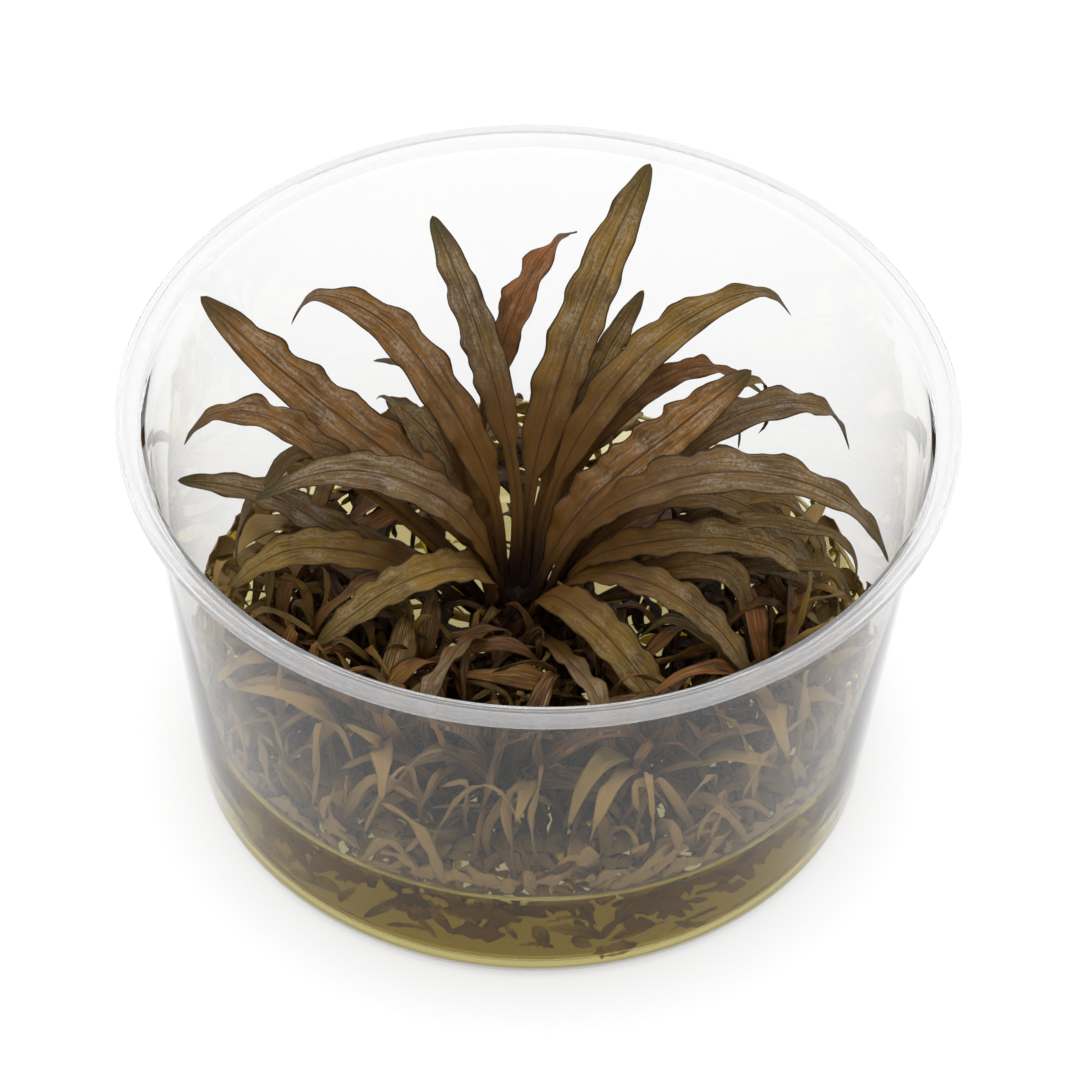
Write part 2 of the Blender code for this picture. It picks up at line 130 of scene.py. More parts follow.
class Graph:
    """Adds nodes to one node tree and links them."""

    def __init__(self, tree):
        self.tree = tree

    def add(self, kind, settings=(), sockets=(), out=0):
        node = self.tree.nodes.new(kind)
        for name, value in dict(settings).items():
            if name == "stops":
                ramp = node.color_ramp.elements
                while len(ramp) < len(value):
                    ramp.new(1)
                for stop, (place, colour) in zip(ramp, value):
                    stop.position, stop.color = place, colour
            else:
                setattr(node, name, value)
        for name, value in dict(sockets).items():
            if isinstance(value, Field):
                self.tree.links.new(value.socket, node.inputs[name])
            else:
                node.inputs[name].default_value = value
        return Field(self, node.outputs[out]) if len(node.outputs) else node

    def mixed(self, first, second, share):
        """The first colour, turned into the second by the share."""
        return self.add("ShaderNodeMix", {"data_type": "RGBA"}, {0: share, 6: first, 7: second}, out=2)

    def noise(self, place, scale, detail=2.0, roughness=0.5):
        return self.add("ShaderNodeTexNoise", sockets={"Vector": place, "Scale": scale, "Detail": detail,
                                                       "Roughness": roughness})

    def place(self):
        """Where a point lies on its piece."""
        return self.add("ShaderNodeTexCoord", out="Object")

    def point(self, x, y, z=0.0):
        return self.add("ShaderNodeCombineXYZ", sockets={0: x, 1: y, 2: z})

    def part(self, point, axis="X"):
        """One number of a point. Its output() gives the others."""
        return self.add("ShaderNodeSeparateXYZ", sockets={0: point}, out=axis)

    def bump(self, height, depth, strength):
        return self.add("ShaderNodeBump", sockets={"Height": height, "Distance": depth, "Strength": strength})

    def painted(self, skin, *layers):
        """The skin under layers, each a web colour and its share."""
        for code, share in layers:
            skin = self.mixed(skin, colour(code), share)
        return skin


def colour(code):
    """Linear red, green, blue and alpha from a web colour."""
    shares = [int(code[i:i + 2], 16) / 255 for i in (1, 3, 5)]
    return (*(s / 12.92 if s <= 0.04045 else ((s + 0.055) / 1.055) ** 2.4 for s in shares), 1)


class SkinGraph(Graph):
    """The graph of a new material."""

    def __init__(self, name):
        self.material = bpy.data.materials.new(name)
        self.material.use_nodes = True
        self.material.node_tree.nodes.clear()
        super().__init__(self.material.node_tree)

    def result(self, look, volume=None):
        """Ends the material in one principled shader of that look, and a volume where there is one."""
        ends = {"Surface": self.add("ShaderNodeBsdfPrincipled", sockets=look)}
        if volume:
            ends["Volume"] = volume
        self.add("ShaderNodeOutputMaterial", sockets=ends)
        return self.material


def new_object(name, points, edges, faces):
    """An object at the origin from points in millimetres."""
    mesh = bpy.data.meshes.new(name)
    mesh.from_pydata([tuple(p) for p in np.asarray(points) * MM], edges, faces)
    made = bpy.data.objects.new(name, mesh)
    bpy.context.scene.collection.objects.link(made)
    return made


def floor_finish():
    graph = SkinGraph("studio_floor")
    return graph.result({
        "Base Color": colour(FLOOR_WHITE), "Roughness": 0.6 + graph.noise(graph.place(), 40) * 0.2,
        "Emission Color": (1, 1, 1, 1), "Emission Strength": FLOOR_GLOW})


def light_tent():
    """The world: white, and brighter towards the top."""
    tent = bpy.data.worlds.new("light_tent")
    tent.use_nodes = True
    tent.node_tree.nodes.clear()
    graph = Graph(tent.node_tree)
    way = graph.add("ShaderNodeTexCoord", out="Generated")
    height = graph.part(way, "Z")
    strength = TENT_SIDE + height.rise(0.3, 0.95) * (TENT_TOP - TENT_SIDE)
    light = graph.add("ShaderNodeBackground", sockets={"Color": (1, 1, 1, 1), "Strength": strength})
    graph.add("ShaderNodeOutputWorld", sockets={"Surface": light})
    bpy.context.scene.world = tent


light_tent()
bpy.context.scene.view_settings.view_transform = "Standard"
corners = [(x * FLOOR_REACH, y * FLOOR_REACH, 0) for x, y in ((-1, -1), (1, -1), (1, 1), (-1, 1))]
floor = new_object("studio_floor", corners, [], [(0, 1, 2, 3)])
floor.data.materials.append(floor_finish())


# Cup
# A thin tub of clear plastic, moulded in one with a foot ring under its base, a stacking step below
# the rim, and a milkier flat ledge with ridges and a lip that takes the lid.
CUP_SIDES = 256
FOOT_INNER, FOOT_OUTER, BASE_LIFT = 37.2, 38.7, 0.9
BASE_RADIUS, BASE_ROUND = 41.2, 2.5
WALL, BASE_FLOOR = 0.7, 0.8
STEP_HEIGHT, STEP_OUT, STEP_RISE = 48.6, 0.6, 3.2
WALL_TOP_RADIUS = 46.8
RIM_RADIUS, RIM_INNER, RIM_TOP, CUP_HEIGHT = 50.5, 47.6, 55.5, 55.75
SKIRT, LIP = 1.2, 0.7
PLASTIC_IOR, WALL_PLASTIC, WALL_CLEAR, RIM_PLASTIC, RIM_CLEAR = 1.09, "#ebebeb", 1.0, "#e4e4e5", 0.8
GLOSS_IOR = 1.26
# The front wall's darker olive tint, up to the gel's top, is painted shade
SHADED_PLASTIC, SHADE_FOOT, SHADE_TOP = "#a48f34", 1.6, 15.3
SHADE_FRONT, SHADE_BACK = -25, 15


def wall_inside(height):
    """Inner radius of the tapered wall at a height."""
    rise = (height - BASE_ROUND) / (STEP_HEIGHT - BASE_ROUND)
    return BASE_RADIUS - WALL + rise * (WALL_TOP_RADIUS - BASE_RADIUS)


def rounded(corners, reach):
    """The corners of a profile, each but the first and last turned into a small arc of three points."""
    corners = [np.array(c, float) for c in corners]
    made = [corners[0]]
    for before, corner, after in zip(corners, corners[1:], corners[2:]):
        back, on = before - corner, after - corner
        cut = min(reach, 0.4 * np.linalg.norm(back), 0.4 * np.linalg.norm(on))
        first, last = corner + back / np.linalg.norm(back) * cut, corner + on / np.linalg.norm(on) * cut
        made += [first, (first + 2 * corner + last) / 4, last]
    return made + [corners[-1]]


def turned(name, profile, sides):
    """A closed object from a profile of (radius, height) turned about Z; its ends lie on the axis."""
    rings, points, faces = [], [], []
    for radius, height in profile:
        count = 1 if radius == 0 else sides
        rings.append(range(len(points), len(points) + count))
        for i in range(count):
            angle = 2 * math.pi * i / sides
            points.append((radius * math.cos(angle), radius * math.sin(angle), height))
    for low, high in zip(rings, rings[1:]):
        for i in range(sides):
            j = (i + 1) % sides
            corners = [low[i % len(low)], low[j % len(low)], high[j % len(high)], high[i % len(high)]]
            faces.append(list(dict.fromkeys(corners)))
    return new_object(name, points, [], faces)


def smooth(piece, sharp_over=50):
    """Smooth shading, but for edges that turn more than that many degrees."""
    piece.data.shade_smooth()
    piece.data.set_sharp_from_angle(angle=math.radians(sharp_over))


def plastic_finish(name, body, clear):
    """Clear glossy plastic, tinted a darker olive at the front from near its foot up to the gel's top:
    painted shade of the growth over the gel.
    """
    graph = SkinGraph(name)
    place = graph.place()
    y = graph.part(place, "Y")
    height, scuffs = y.output("Z"), graph.noise(place, 60, 1)
    # Painted shade: a darker olive tint on the front of the wall, up to the gel's top
    olive_tint = 1 - height.rise((SHADE_TOP - 0.4) * MM, (SHADE_TOP + 0.3) * MM)
    olive_tint = olive_tint * (1 - y.rise(SHADE_FRONT * MM, SHADE_BACK * MM))
    olive_tint = olive_tint * height.rise(SHADE_FOOT * MM, (SHADE_FOOT + 0.8) * MM)
    return graph.result({
        "Base Color": graph.painted(colour(body), (SHADED_PLASTIC, olive_tint)), "IOR": PLASTIC_IOR,
        "Transmission Weight": clear, "Roughness": 0.0, "Coat Weight": 0.9 + scuffs * 0.2,
        "Coat IOR": GLOSS_IOR, "Coat Roughness": 0.0})


cup_profile = [(0, BASE_LIFT), (FOOT_INNER - 0.5, BASE_LIFT), (FOOT_INNER, 0), (FOOT_OUTER, 0)]
cup_profile += [(FOOT_OUTER + BASE_ROUND * math.sin(a), BASE_ROUND * (1 - math.cos(a)))
                for a in np.radians(range(15, 91, 15))]
rim_under = [
    (WALL_TOP_RADIUS, STEP_HEIGHT), (WALL_TOP_RADIUS + STEP_OUT, STEP_HEIGHT + STEP_RISE),
    (RIM_INNER, RIM_TOP - 1.5), (RIM_INNER + 0.8, RIM_TOP - LIP), (RIM_RADIUS - LIP, RIM_TOP - LIP),
    (RIM_RADIUS - LIP, RIM_TOP - SKIRT), (RIM_RADIUS, RIM_TOP - SKIRT),
]
rim_over = [
    (RIM_RADIUS, RIM_TOP - 0.2), (RIM_RADIUS - 0.3, RIM_TOP), (RIM_RADIUS - 0.6, CUP_HEIGHT),
    (RIM_RADIUS - 1.0, CUP_HEIGHT), (RIM_RADIUS - 1.25, RIM_TOP - 0.1), (RIM_RADIUS - 1.4, RIM_TOP - 0.1),
    (RIM_RADIUS - 1.55, RIM_TOP + 0.1), (RIM_RADIUS - 1.75, RIM_TOP + 0.1),
    (RIM_RADIUS - 1.9, RIM_TOP - 0.05), (RIM_INNER + 0.3, RIM_TOP - 0.05), (RIM_INNER, RIM_TOP - 0.35),
    (WALL_TOP_RADIUS + STEP_OUT - WALL + 0.2, RIM_TOP - 2.0),
    (WALL_TOP_RADIUS + STEP_OUT - WALL, STEP_HEIGHT + STEP_RISE), (WALL_TOP_RADIUS - WALL, STEP_HEIGHT),
]
inside = [
    (wall_inside(BASE_ROUND + BASE_FLOOR), BASE_ROUND + BASE_FLOOR),
    (BASE_RADIUS - WALL - 0.7, BASE_LIFT + BASE_FLOOR + 0.4),
    (BASE_RADIUS - WALL - BASE_ROUND + 0.5, BASE_LIFT + BASE_FLOOR), (0, BASE_LIFT + BASE_FLOOR),
]
cup = turned("clear_cup", rounded(cup_profile + rim_under + rim_over + inside, 0.3), CUP_SIDES)
smooth(cup)
cup.data.materials.append(plastic_finish("clear_wall", WALL_PLASTIC, WALL_CLEAR))
cup.data.materials.append(plastic_finish("milky_rim", RIM_PLASTIC, RIM_CLEAR))
for face in cup.data.polygons:
    face.material_index = math.hypot(*face.center[:2]) > (RIM_INNER + 0.1) * MM
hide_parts("cup")
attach(cup, "root")


# Gel
# The culture gel that the plant was grown on: clear, stained olive-yellow, poured into the cup and
# set, with a low meniscus up the wall. A thin line of it has dried there.
GEL_TOP, GEL_SINK, MENISCUS, LINE_THICK = 15.3, 0.25, 0.5, 0.25
GEL_LIFT, GEL_CLEARANCE, GEL_CORNER, DIP_REACH = 0.1, 0.12, 2.0, 20.0
MENISCUS_FOOT, MENISCUS_BEND = 1.4, 0.5
LINE_INSET, LINE_LIFT = 0.34, 0.1
GEL_SIDES, LINE_SIDES = 128, 6
GEL_STAIN, GEL_DENSITY, GEL_BODY, GEL_IOR, GEL_CLEAR = "#e8d810", 32.0, "#f8f0cc", 1.08, 1.0


def gel_finish():
    graph = SkinGraph("olive_gel")
    olive_tint = graph.add("ShaderNodeVolumeAbsorption", sockets={
        "Color": colour(GEL_STAIN), "Density": GEL_DENSITY})
    return graph.result({
        "Base Color": colour(GEL_BODY), "IOR": GEL_IOR, "Transmission Weight": GEL_CLEAR, "Roughness": 0.0,
        "Normal": graph.bump(graph.noise(graph.place(), 180, 1), 0.0006, 0.35)}, olive_tint)


def dried_finish():
    """The pale film that the gel leaves where its edge has dried on the wall."""
    graph = SkinGraph("dried_gel")
    film = graph.noise(graph.place(), 90).rise(0.35, 0.65)
    return graph.result({"Base Color": graph.painted(colour("#a89a52"), ("#cabf86", film)), "Roughness": 0.4})


def joined(first, *others):
    """The others' faces added to the first object, with their materials."""
    for other in others:
        with bpy.context.temp_override(active_object=first, selected_editable_objects=[first, other]):
            bpy.ops.object.join()
    return first


gel_floor = BASE_LIFT + BASE_FLOOR
gel_profile = [
    (0, gel_floor + GEL_LIFT), (BASE_RADIUS - WALL - BASE_ROUND + 0.3, gel_floor + GEL_LIFT),
    (wall_inside(gel_floor + GEL_CORNER) - GEL_CLEARANCE, gel_floor + GEL_CORNER),
    (wall_inside(GEL_TOP + MENISCUS) - GEL_CLEARANCE, GEL_TOP + MENISCUS),
    (wall_inside(GEL_TOP) - MENISCUS_BEND, GEL_TOP + 0.25 * MENISCUS),
    (wall_inside(GEL_TOP) - MENISCUS_FOOT, GEL_TOP), (DIP_REACH, GEL_TOP - GEL_SINK), (0, GEL_TOP),
]
gel = turned("culture_gel", rounded(gel_profile, 0.4), GEL_SIDES)
gel.data.materials.append(gel_finish())
line_radius, line_height = wall_inside(GEL_TOP) - LINE_INSET, GEL_TOP + LINE_LIFT
line_points, line_faces = [], []
for i, a in enumerate(np.linspace(0, 2 * math.pi, GEL_SIDES, endpoint=False)):
    after = (i + 1) % GEL_SIDES
    for j, b in enumerate(np.linspace(0, 2 * math.pi, LINE_SIDES, endpoint=False)):
        radius, height = line_radius + LINE_THICK * math.cos(b), line_height + LINE_THICK * math.sin(b)
        line_points.append((radius * math.cos(a), radius * math.sin(a), height))
        beside = (j + 1) % LINE_SIDES
        line_faces.append((LINE_SIDES * i + j, LINE_SIDES * after + j, LINE_SIDES * after + beside,
                           LINE_SIDES * i + beside))
dried_line = new_object("dried_line", line_points, [], line_faces)
dried_line.data.materials.append(dried_finish())
joined(gel, dried_line)
smooth(gel)
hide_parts("gel")
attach(gel, "root")


# Main leaves
# Twenty-two long leaves stand in three rings on the crown. Each is a golden-brown stalk that widens
# into a thin, waved blade with a dark midrib, many fine veins along it and a dark edge.
CROWN_X, CROWN_Y = -2.0, 3.0
RING_RADIUS, RING_HEIGHT = (1.9, 3.4, 5.0), (20.0, 19.2, 18.4)
LEAF_STATIONS, LEAF_SIDES = 110, 28
STALK_THICK, STALK_WIDE, BLADE_THIN, RIB_THICK = 1.1, 1.6, 0.16, 0.22
FULLEST, BLUNTNESS = 0.75, 0.54

# How a leaf is coloured: its body, the patches of painted light coming through it, its painted sheen and tip
OLIVE_BROWN = ("#62491c", "#76581a", "#8d7d62", "#4a3f18")
GREY_BROWN = ("#5c4628", "#6b5224", "#8f8170", "#3c3a1c")
WARM_BROWN = ("#64451c", "#784f18", "#92806a", "#46391a")
RUST = ("#70421c", "#7c4c20", "#906e50", "#453416")
REDDISH = ("#69421c", "#7c4e20", "#8a6e54", "#4a4016")
GOLDEN_OLIVE = ("#685020", "#7c5f1e", "#8c7c5a", "#5a4818")
DARK_BROWN = ("#57401c", "#6b4f1e", "#837359", "#3a3016")
# The near-black colour is painted shade, at the leaves' feet deep in the crown and low in the undergrowth
STALK_GOLD, PAINTED_SHADE, EDGE_DARK, RIB_DARK = "#503206", "#1c0c02", "#1d1206", "#33200a"

# Each leaf: ring, angle of its foot on the ring, direction, then (reach, height above the base) of
# the points it passes, sideways bow, width, lean of the blade, the share of it that is stalk, and look
LEAVES = {
    "leaf_back_tall": (0, 68, 70, ((8, 29), (19, 40), (31, 48.5), (43.5, 55.3)), 2.2, 6.2, 10, 0.25,
        OLIVE_BROWN),
    "leaf_back_left": (0, 118, 108, ((5, 27), (13, 37), (24, 44), (38, 50)), -2, 4.8, -20, 0.36, GREY_BROWN),
    "leaf_back_rust": (1, 110, 81, ((11, 26), (21, 38), (30, 46), (36.5, 47), (39.5, 45)), 7.5, 4.8, -25,
        0.45, RUST),
    "leaf_back_right": (1, 72, 64, ((9, 28), (19, 37), (33, 44.5)), 1.5, 3.8, 20, 0.30, OLIVE_BROWN),
    "leaf_left_tall": (1, 165, 156, ((7, 30), (17, 38.5), (30, 45), (43, 53.3)), 1, 6.8, -25, 0.16,
        WARM_BROWN),
    "leaf_left_hooked": (0, 168, 140, ((6, 31), (15, 43), (26, 50.5), (34, 49), (37.3, 42.5)), -3, 5.4, -25,
        0.22, WARM_BROWN),
    "leaf_right_arched": (0, 12, 39, ((8, 31), (18, 43.5), (30, 50), (38, 49.5), (42, 43.8)), 4, 5.2, 20,
        0.26, OLIVE_BROWN),
    "leaf_right_red": (1, 38, 35, ((9, 26.5), (19, 39.5), (27, 43), (36, 36)), 5, 3.2, 20, 0.40, REDDISH),
    "leaf_right_wide": (0, 328, 21, ((7, 31.5), (18, 41.5), (29.5, 50)), 0, 6.4, 25, 0.15, WARM_BROWN),
    "leaf_right_curled": (1, 14, 22, ((10, 29), (21, 39), (32, 42.5), (40.5, 38.5), (43.4, 31)), 0, 4.6, 15,
        0.34, GREY_BROWN),
    "leaf_right_long": (1, 321, -6, ((6, 29.5), (17, 42.5), (30, 46), (41, 41), (45, 33)), 0, 6, 15, 0.22,
        GREY_BROWN),
    "leaf_right_folded": (2, 16, 4, ((10, 29.5), (20, 37), (30, 32.5), (37.5, 21.5)), 1.1, 5.2, 10, 0.30,
        DARK_BROWN),
    "leaf_right_low": (2, 358, -4, ((8, 28.4), (20, 34), (32, 32), (36.2, 25.5)), -1.4, 5.2, 6, 0.26,
        OLIVE_BROWN),
    "leaf_right_drooped": (2, 328, 3, ((14, 22.5), (25, 27.5), (40.5, 17.5)), 0, 5, 10, 0.30, DARK_BROWN),
    "leaf_front_broad": (2, 278, -45, ((5, 24.4), (11, 28.2), (20, 25.6), (31, 16.5)), -1.5, 6, 0, 0.16,
        GOLDEN_OLIVE),
    "leaf_front_right": (2, 307, -28, ((8, 27.2), (18, 31.5), (27, 29), (33, 22)), 0.6, 5, 0, 0.22,
        DARK_BROWN),
    "leaf_front_left": (2, 215, -153, ((5, 27.5), (12, 31), (20, 29), (27, 24)), 1, 6, 0, 0.10, GOLDEN_OLIVE),
    "leaf_left_low": (2, 190, -172, ((9.5, 23.5), (19, 30), (28, 31.5), (37, 23)), 0, 5.2, -15, 0.24,
        GOLDEN_OLIVE),
    "leaf_left_long": (0, 222, -176, ((6, 33), (13, 40.5), (23, 43), (32, 38.5)), 0, 5.8, -20, 0.16,
        GREY_BROWN),
    "leaf_left_arched": (1, 198, 170, ((10, 28.5), (22, 40), (31, 46), (37.5, 44.5), (41.6, 38)), 1.5, 4.4,
        -15, 0.42, WARM_BROWN),
    "leaf_left_under": (2, 168, 177, ((10, 24.5), (20, 28.5), (31, 35.5), (41.6, 37)), 0, 5, -10, 0.22,
        GREY_BROWN),
    "leaf_left_back": (1, 137, 130, ((8, 28), (17, 34.5), (26, 34.5)), 0, 5, -10, 0.22, DARK_BROWN),
}


def smooth_path(knots, steps):
    """A natural cubic spline through the knots, as evenly spaced points."""
    knots = np.asarray(knots, float)
    along = np.r_[0, np.cumsum(np.linalg.norm(np.diff(knots, axis=0), axis=1))]
    gaps = np.diff(along)
    count = len(knots)
    matrix = np.eye(count)
    right = np.zeros((count, 3))
    for i in range(1, count - 1):
        matrix[i, i - 1:i + 2] = gaps[i - 1], 2 * (gaps[i - 1] + gaps[i]), gaps[i]
        right[i] = 6 * ((knots[i + 1] - knots[i]) / gaps[i] - (knots[i] - knots[i - 1]) / gaps[i - 1])
    bend = np.linalg.solve(matrix, right)
    at = np.linspace(0, along[-1], steps + 1)
    k = np.clip(np.searchsorted(along, at, side="right") - 1, 0, count - 2)
    after, before, gap = (along[k + 1] - at)[:, None], (at - along[k])[:, None], gaps[k][:, None]
    return ((bend[k] * after**3 + bend[k + 1] * before**3) / (6 * gap)
            + (knots[k] / gap - bend[k] * gap / 6) * after
            + (knots[k + 1] / gap - bend[k + 1] * gap / 6) * before)


def leaf_knots(foot, centre, direction, path, bow):
    """The points a leaf passes: its foot, then reach and height along its direction, bowed sideways."""
    turn = math.radians(direction)
    out = np.array([math.cos(turn), math.sin(turn), 0])
    across = np.array([-math.sin(turn), math.cos(turn), 0])
    knots = [foot]
    for reach, height in path:
        side = bow * math.sin(math.pi * (reach / path[-1][0])**0.7)
        knots.append(np.array([*centre, height]) + reach * out + side * across)
    return knots


def unit(vectors):
    return vectors / np.linalg.norm(vectors, axis=-1, keepdims=True)


def strand(knots, stations, width, lean, stalk, chance):
    """The line a leaf follows, and for each point of it the directions across and up from the blade."""
    middle = smooth_path(knots, stations)
    along = np.linspace(0, 1, stations + 1)
    ahead = unit(np.gradient(middle, axis=0))
    level = np.cross((0, 0, 1), unit((knots[-1] - knots[0]) * (1, 1, 0)))
    across = unit(level - (ahead @ level)[:, None] * ahead)
    up = np.cross(ahead, across)
    turn = (math.radians(lean) * np.clip(2 * along, 0, 1))[:, None]
    across, up = across * np.cos(turn) + up * np.sin(turn), up * np.cos(turn) - across * np.sin(turn)
    return {"points": middle, "along": along, "across": across, "up": up, "width": width, "stalk": stalk,
            "chance": chance}


def strands_object(name, strands):
    """One object of open lines, whose points carry what the nodes read."""
    counts = [len(s["points"]) for s in strands]
    starts = np.r_[0, np.cumsum(counts)]
    edges = [(start + i, start + i + 1) for start, count in zip(starts, counts) for i in range(count - 1)]
    made = new_object(name, np.concatenate([s["points"] for s in strands]), edges, [])
    for name in ("across", "up"):
        values = np.concatenate([s[name] for s in strands]).astype(np.float32)
        made.data.attributes.new(name, "FLOAT_VECTOR", "POINT").data.foreach_set("vector", values.ravel())
    for name, scale in (("along", 1), ("width", MM), ("stalk", 1), ("chance", 1)):
        values = np.concatenate([np.broadcast_to(s[name], n) * scale for s, n in zip(strands, counts)])
        made.data.attributes.new(name, "FLOAT", "POINT").data.foreach_set("value", values.astype(np.float32))
    return made


class ShapeGraph(Graph):
    """The graph of a new Geometry Nodes tree, with its group input and output."""

    def __init__(self, name):
        super().__init__(bpy.data.node_groups.new(name, "GeometryNodeTree"))
        self.source = self.tree.nodes.new("NodeGroupInput")

    def size(self, name, kind="Float"):
        """A named input of the tree."""
        self.tree.interface.new_socket(name, in_out="INPUT", socket_type="NodeSocket" + kind)
        return Field(self, self.source.outputs[name])

    def carried(self, name, kind="FLOAT"):
        """A value that the line's or the outline's points carry."""
        return self.add("GeometryNodeInputNamedAttribute", {"data_type": kind}, {"Name": name})

    def stored(self, shape, name, value, kind="FLOAT"):
        return self.add("GeometryNodeStoreNamedAttribute", {"data_type": kind, "domain": "POINT"},
                        {"Geometry": shape, "Name": name, "Value": value})

    def result(self, shape, material):
        """Ends the tree in one plain, smooth mesh that wears the material."""
        shape = self.add("GeometryNodeSetShadeSmooth", sockets={"Geometry": shape})
        shape = self.add("GeometryNodeRealizeInstances", sockets={"Geometry": shape})
        shape = self.add("GeometryNodeSetMaterial", sockets={"Geometry": shape, "Material": material})
        self.tree.interface.new_socket("Shape", in_out="OUTPUT", socket_type="NodeSocketGeometry")
        self.add("NodeGroupOutput", sockets={"Shape": shape})
        return self.tree


def swept(graph, lines, sides):
    """A tube round every line. Its points carry their place on the line and their share of a turn."""
    lines = graph.add("GeometryNodeMeshToCurve", sockets={"Mesh": lines})
    lines = graph.stored(lines, "spine", graph.add("GeometryNodeInputPosition"), "FLOAT_VECTOR")
    ring = graph.add("GeometryNodeCurvePrimitiveCircle", sockets={"Resolution": sides, "Radius": MM})
    ring = graph.stored(ring, "around", graph.add("GeometryNodeSplineParameter", out="Factor"))
    return graph.add("GeometryNodeCurveToMesh", sockets={"Curve": lines, "Profile Curve": ring})


def moved(graph, shape, side, rise):
    """Puts each point of a tube at its place across and up from its line, and closes the tube's ends."""
    place = (graph.carried("spine", "FLOAT_VECTOR") + graph.carried("across", "FLOAT_VECTOR") * side
             + graph.carried("up", "FLOAT_VECTOR") * rise)
    shape = graph.add("GeometryNodeSetPosition", sockets={"Geometry": shape, "Position": place})
    return graph.add("GeometryNodeMergeByDistance", sockets={"Geometry": shape, "Distance": 0.002 * MM})


def leaf_tree():
    """Leaves from lines: each a channelled stalk that widens into a thin, grooved and waved blade."""
    graph = ShapeGraph("leaves")
    lines, sides = graph.size("Lines", "Geometry"), graph.size("Sides", "Int")
    stalk_thick, stalk_wide, thin, rib = (
        graph.size(n) for n in ("Stalk thickness", "Stalk width", "Blade thickness", "Rib"))
    wave, waves, groove, pucker, slim, notch = (graph.size(n) for n in (
        "Wave height", "Waves", "Groove", "Pucker height", "Slim tip", "Margin notch"))
    material = graph.size("Material", "Material")
    tube = swept(graph, lines, sides)
    along, width, stalk, chance = (graph.carried(n) for n in ("along", "width", "stalk", "chance"))
    turn = graph.carried("around") * (2 * math.pi)
    v, face = turn.math("COSINE"), turn.math("SINE")
    edge = abs(v)
    blade = ((along - stalk) / (1 - stalk)).clamped()
    outline = (blade ** FULLEST * math.pi).math("SINE").clamped() ** BLUNTNESS * width * 0.5
    outline = outline * (1 - blade.rise(0.55, 0.95) * slim)
    ends = (along * 60).clamped() ** 0.5 * ((1 - along) * 16).clamped() ** 0.6
    half = outline.math("MAXIMUM", stalk_wide * 0.5 * ends)
    in_blade = blade.rise(0.0, 0.16)
    sway = (blade * (1 - blade) * 4.5).clamped() * (1 - blade.rise(0.6, 0.9) * slim)
    side = v.math("SIGN")
    bumps = graph.noise(graph.point(along * waves * 2, side * 3, chance * 50), 1.0, 1.0) * 2 - 1
    beat = (along + bumps * 0.03) * waves * (2 * math.pi) + chance * 40 + side * 1.1
    ripple = beat.math("SINE") + bumps * 1.2
    bulge = graph.noise(graph.point(along * waves * 3, v * 1.6, chance * 90), 1.0, 1.0) * 2 - 1
    rise = edge ** 1.8 * wave * ripple * sway + edge ** 1.2 * half * groove * in_blade
    rise = rise + bulge * pucker * sway * (1 - (1 - edge) ** 6)
    channel = (1 - edge) ** 2 * (face + 1) * 0.3
    round_stalk = stalk_thick * 0.5 * (1 - in_blade)
    flat_blade = (thin + rib * (1 - edge) ** 4) * 0.5 * in_blade
    rise = rise + (face - channel) * round_stalk * ends + face * flat_blade * ends
    scallop = 1 + (ripple + bulge) * notch * sway * in_blade
    shape = moved(graph, tube, v * half * scallop, rise)
    shape = graph.stored(shape, "leaf_at", graph.point(along, v, blade), "FLOAT_VECTOR")
    return graph.result(shape, material)


def grown(piece, tree, sizes):
    """Runs a Geometry Nodes tree on a piece and leaves its result as the piece's plain mesh."""
    growth = piece.modifiers.new(tree.name, "NODES")
    growth.node_group = tree
    for name, value in sizes.items():
        growth[tree.interface.items_tree[name].identifier] = value
    made = bpy.data.meshes.new_from_object(piece.evaluated_get(bpy.context.evaluated_depsgraph_get()))
    piece.modifiers.clear()
    piece.data = made
    for name in ("spine", "around", "across", "up", "along", "width", "stalk"):
        made.attributes.remove(made.attributes[name])
    return piece


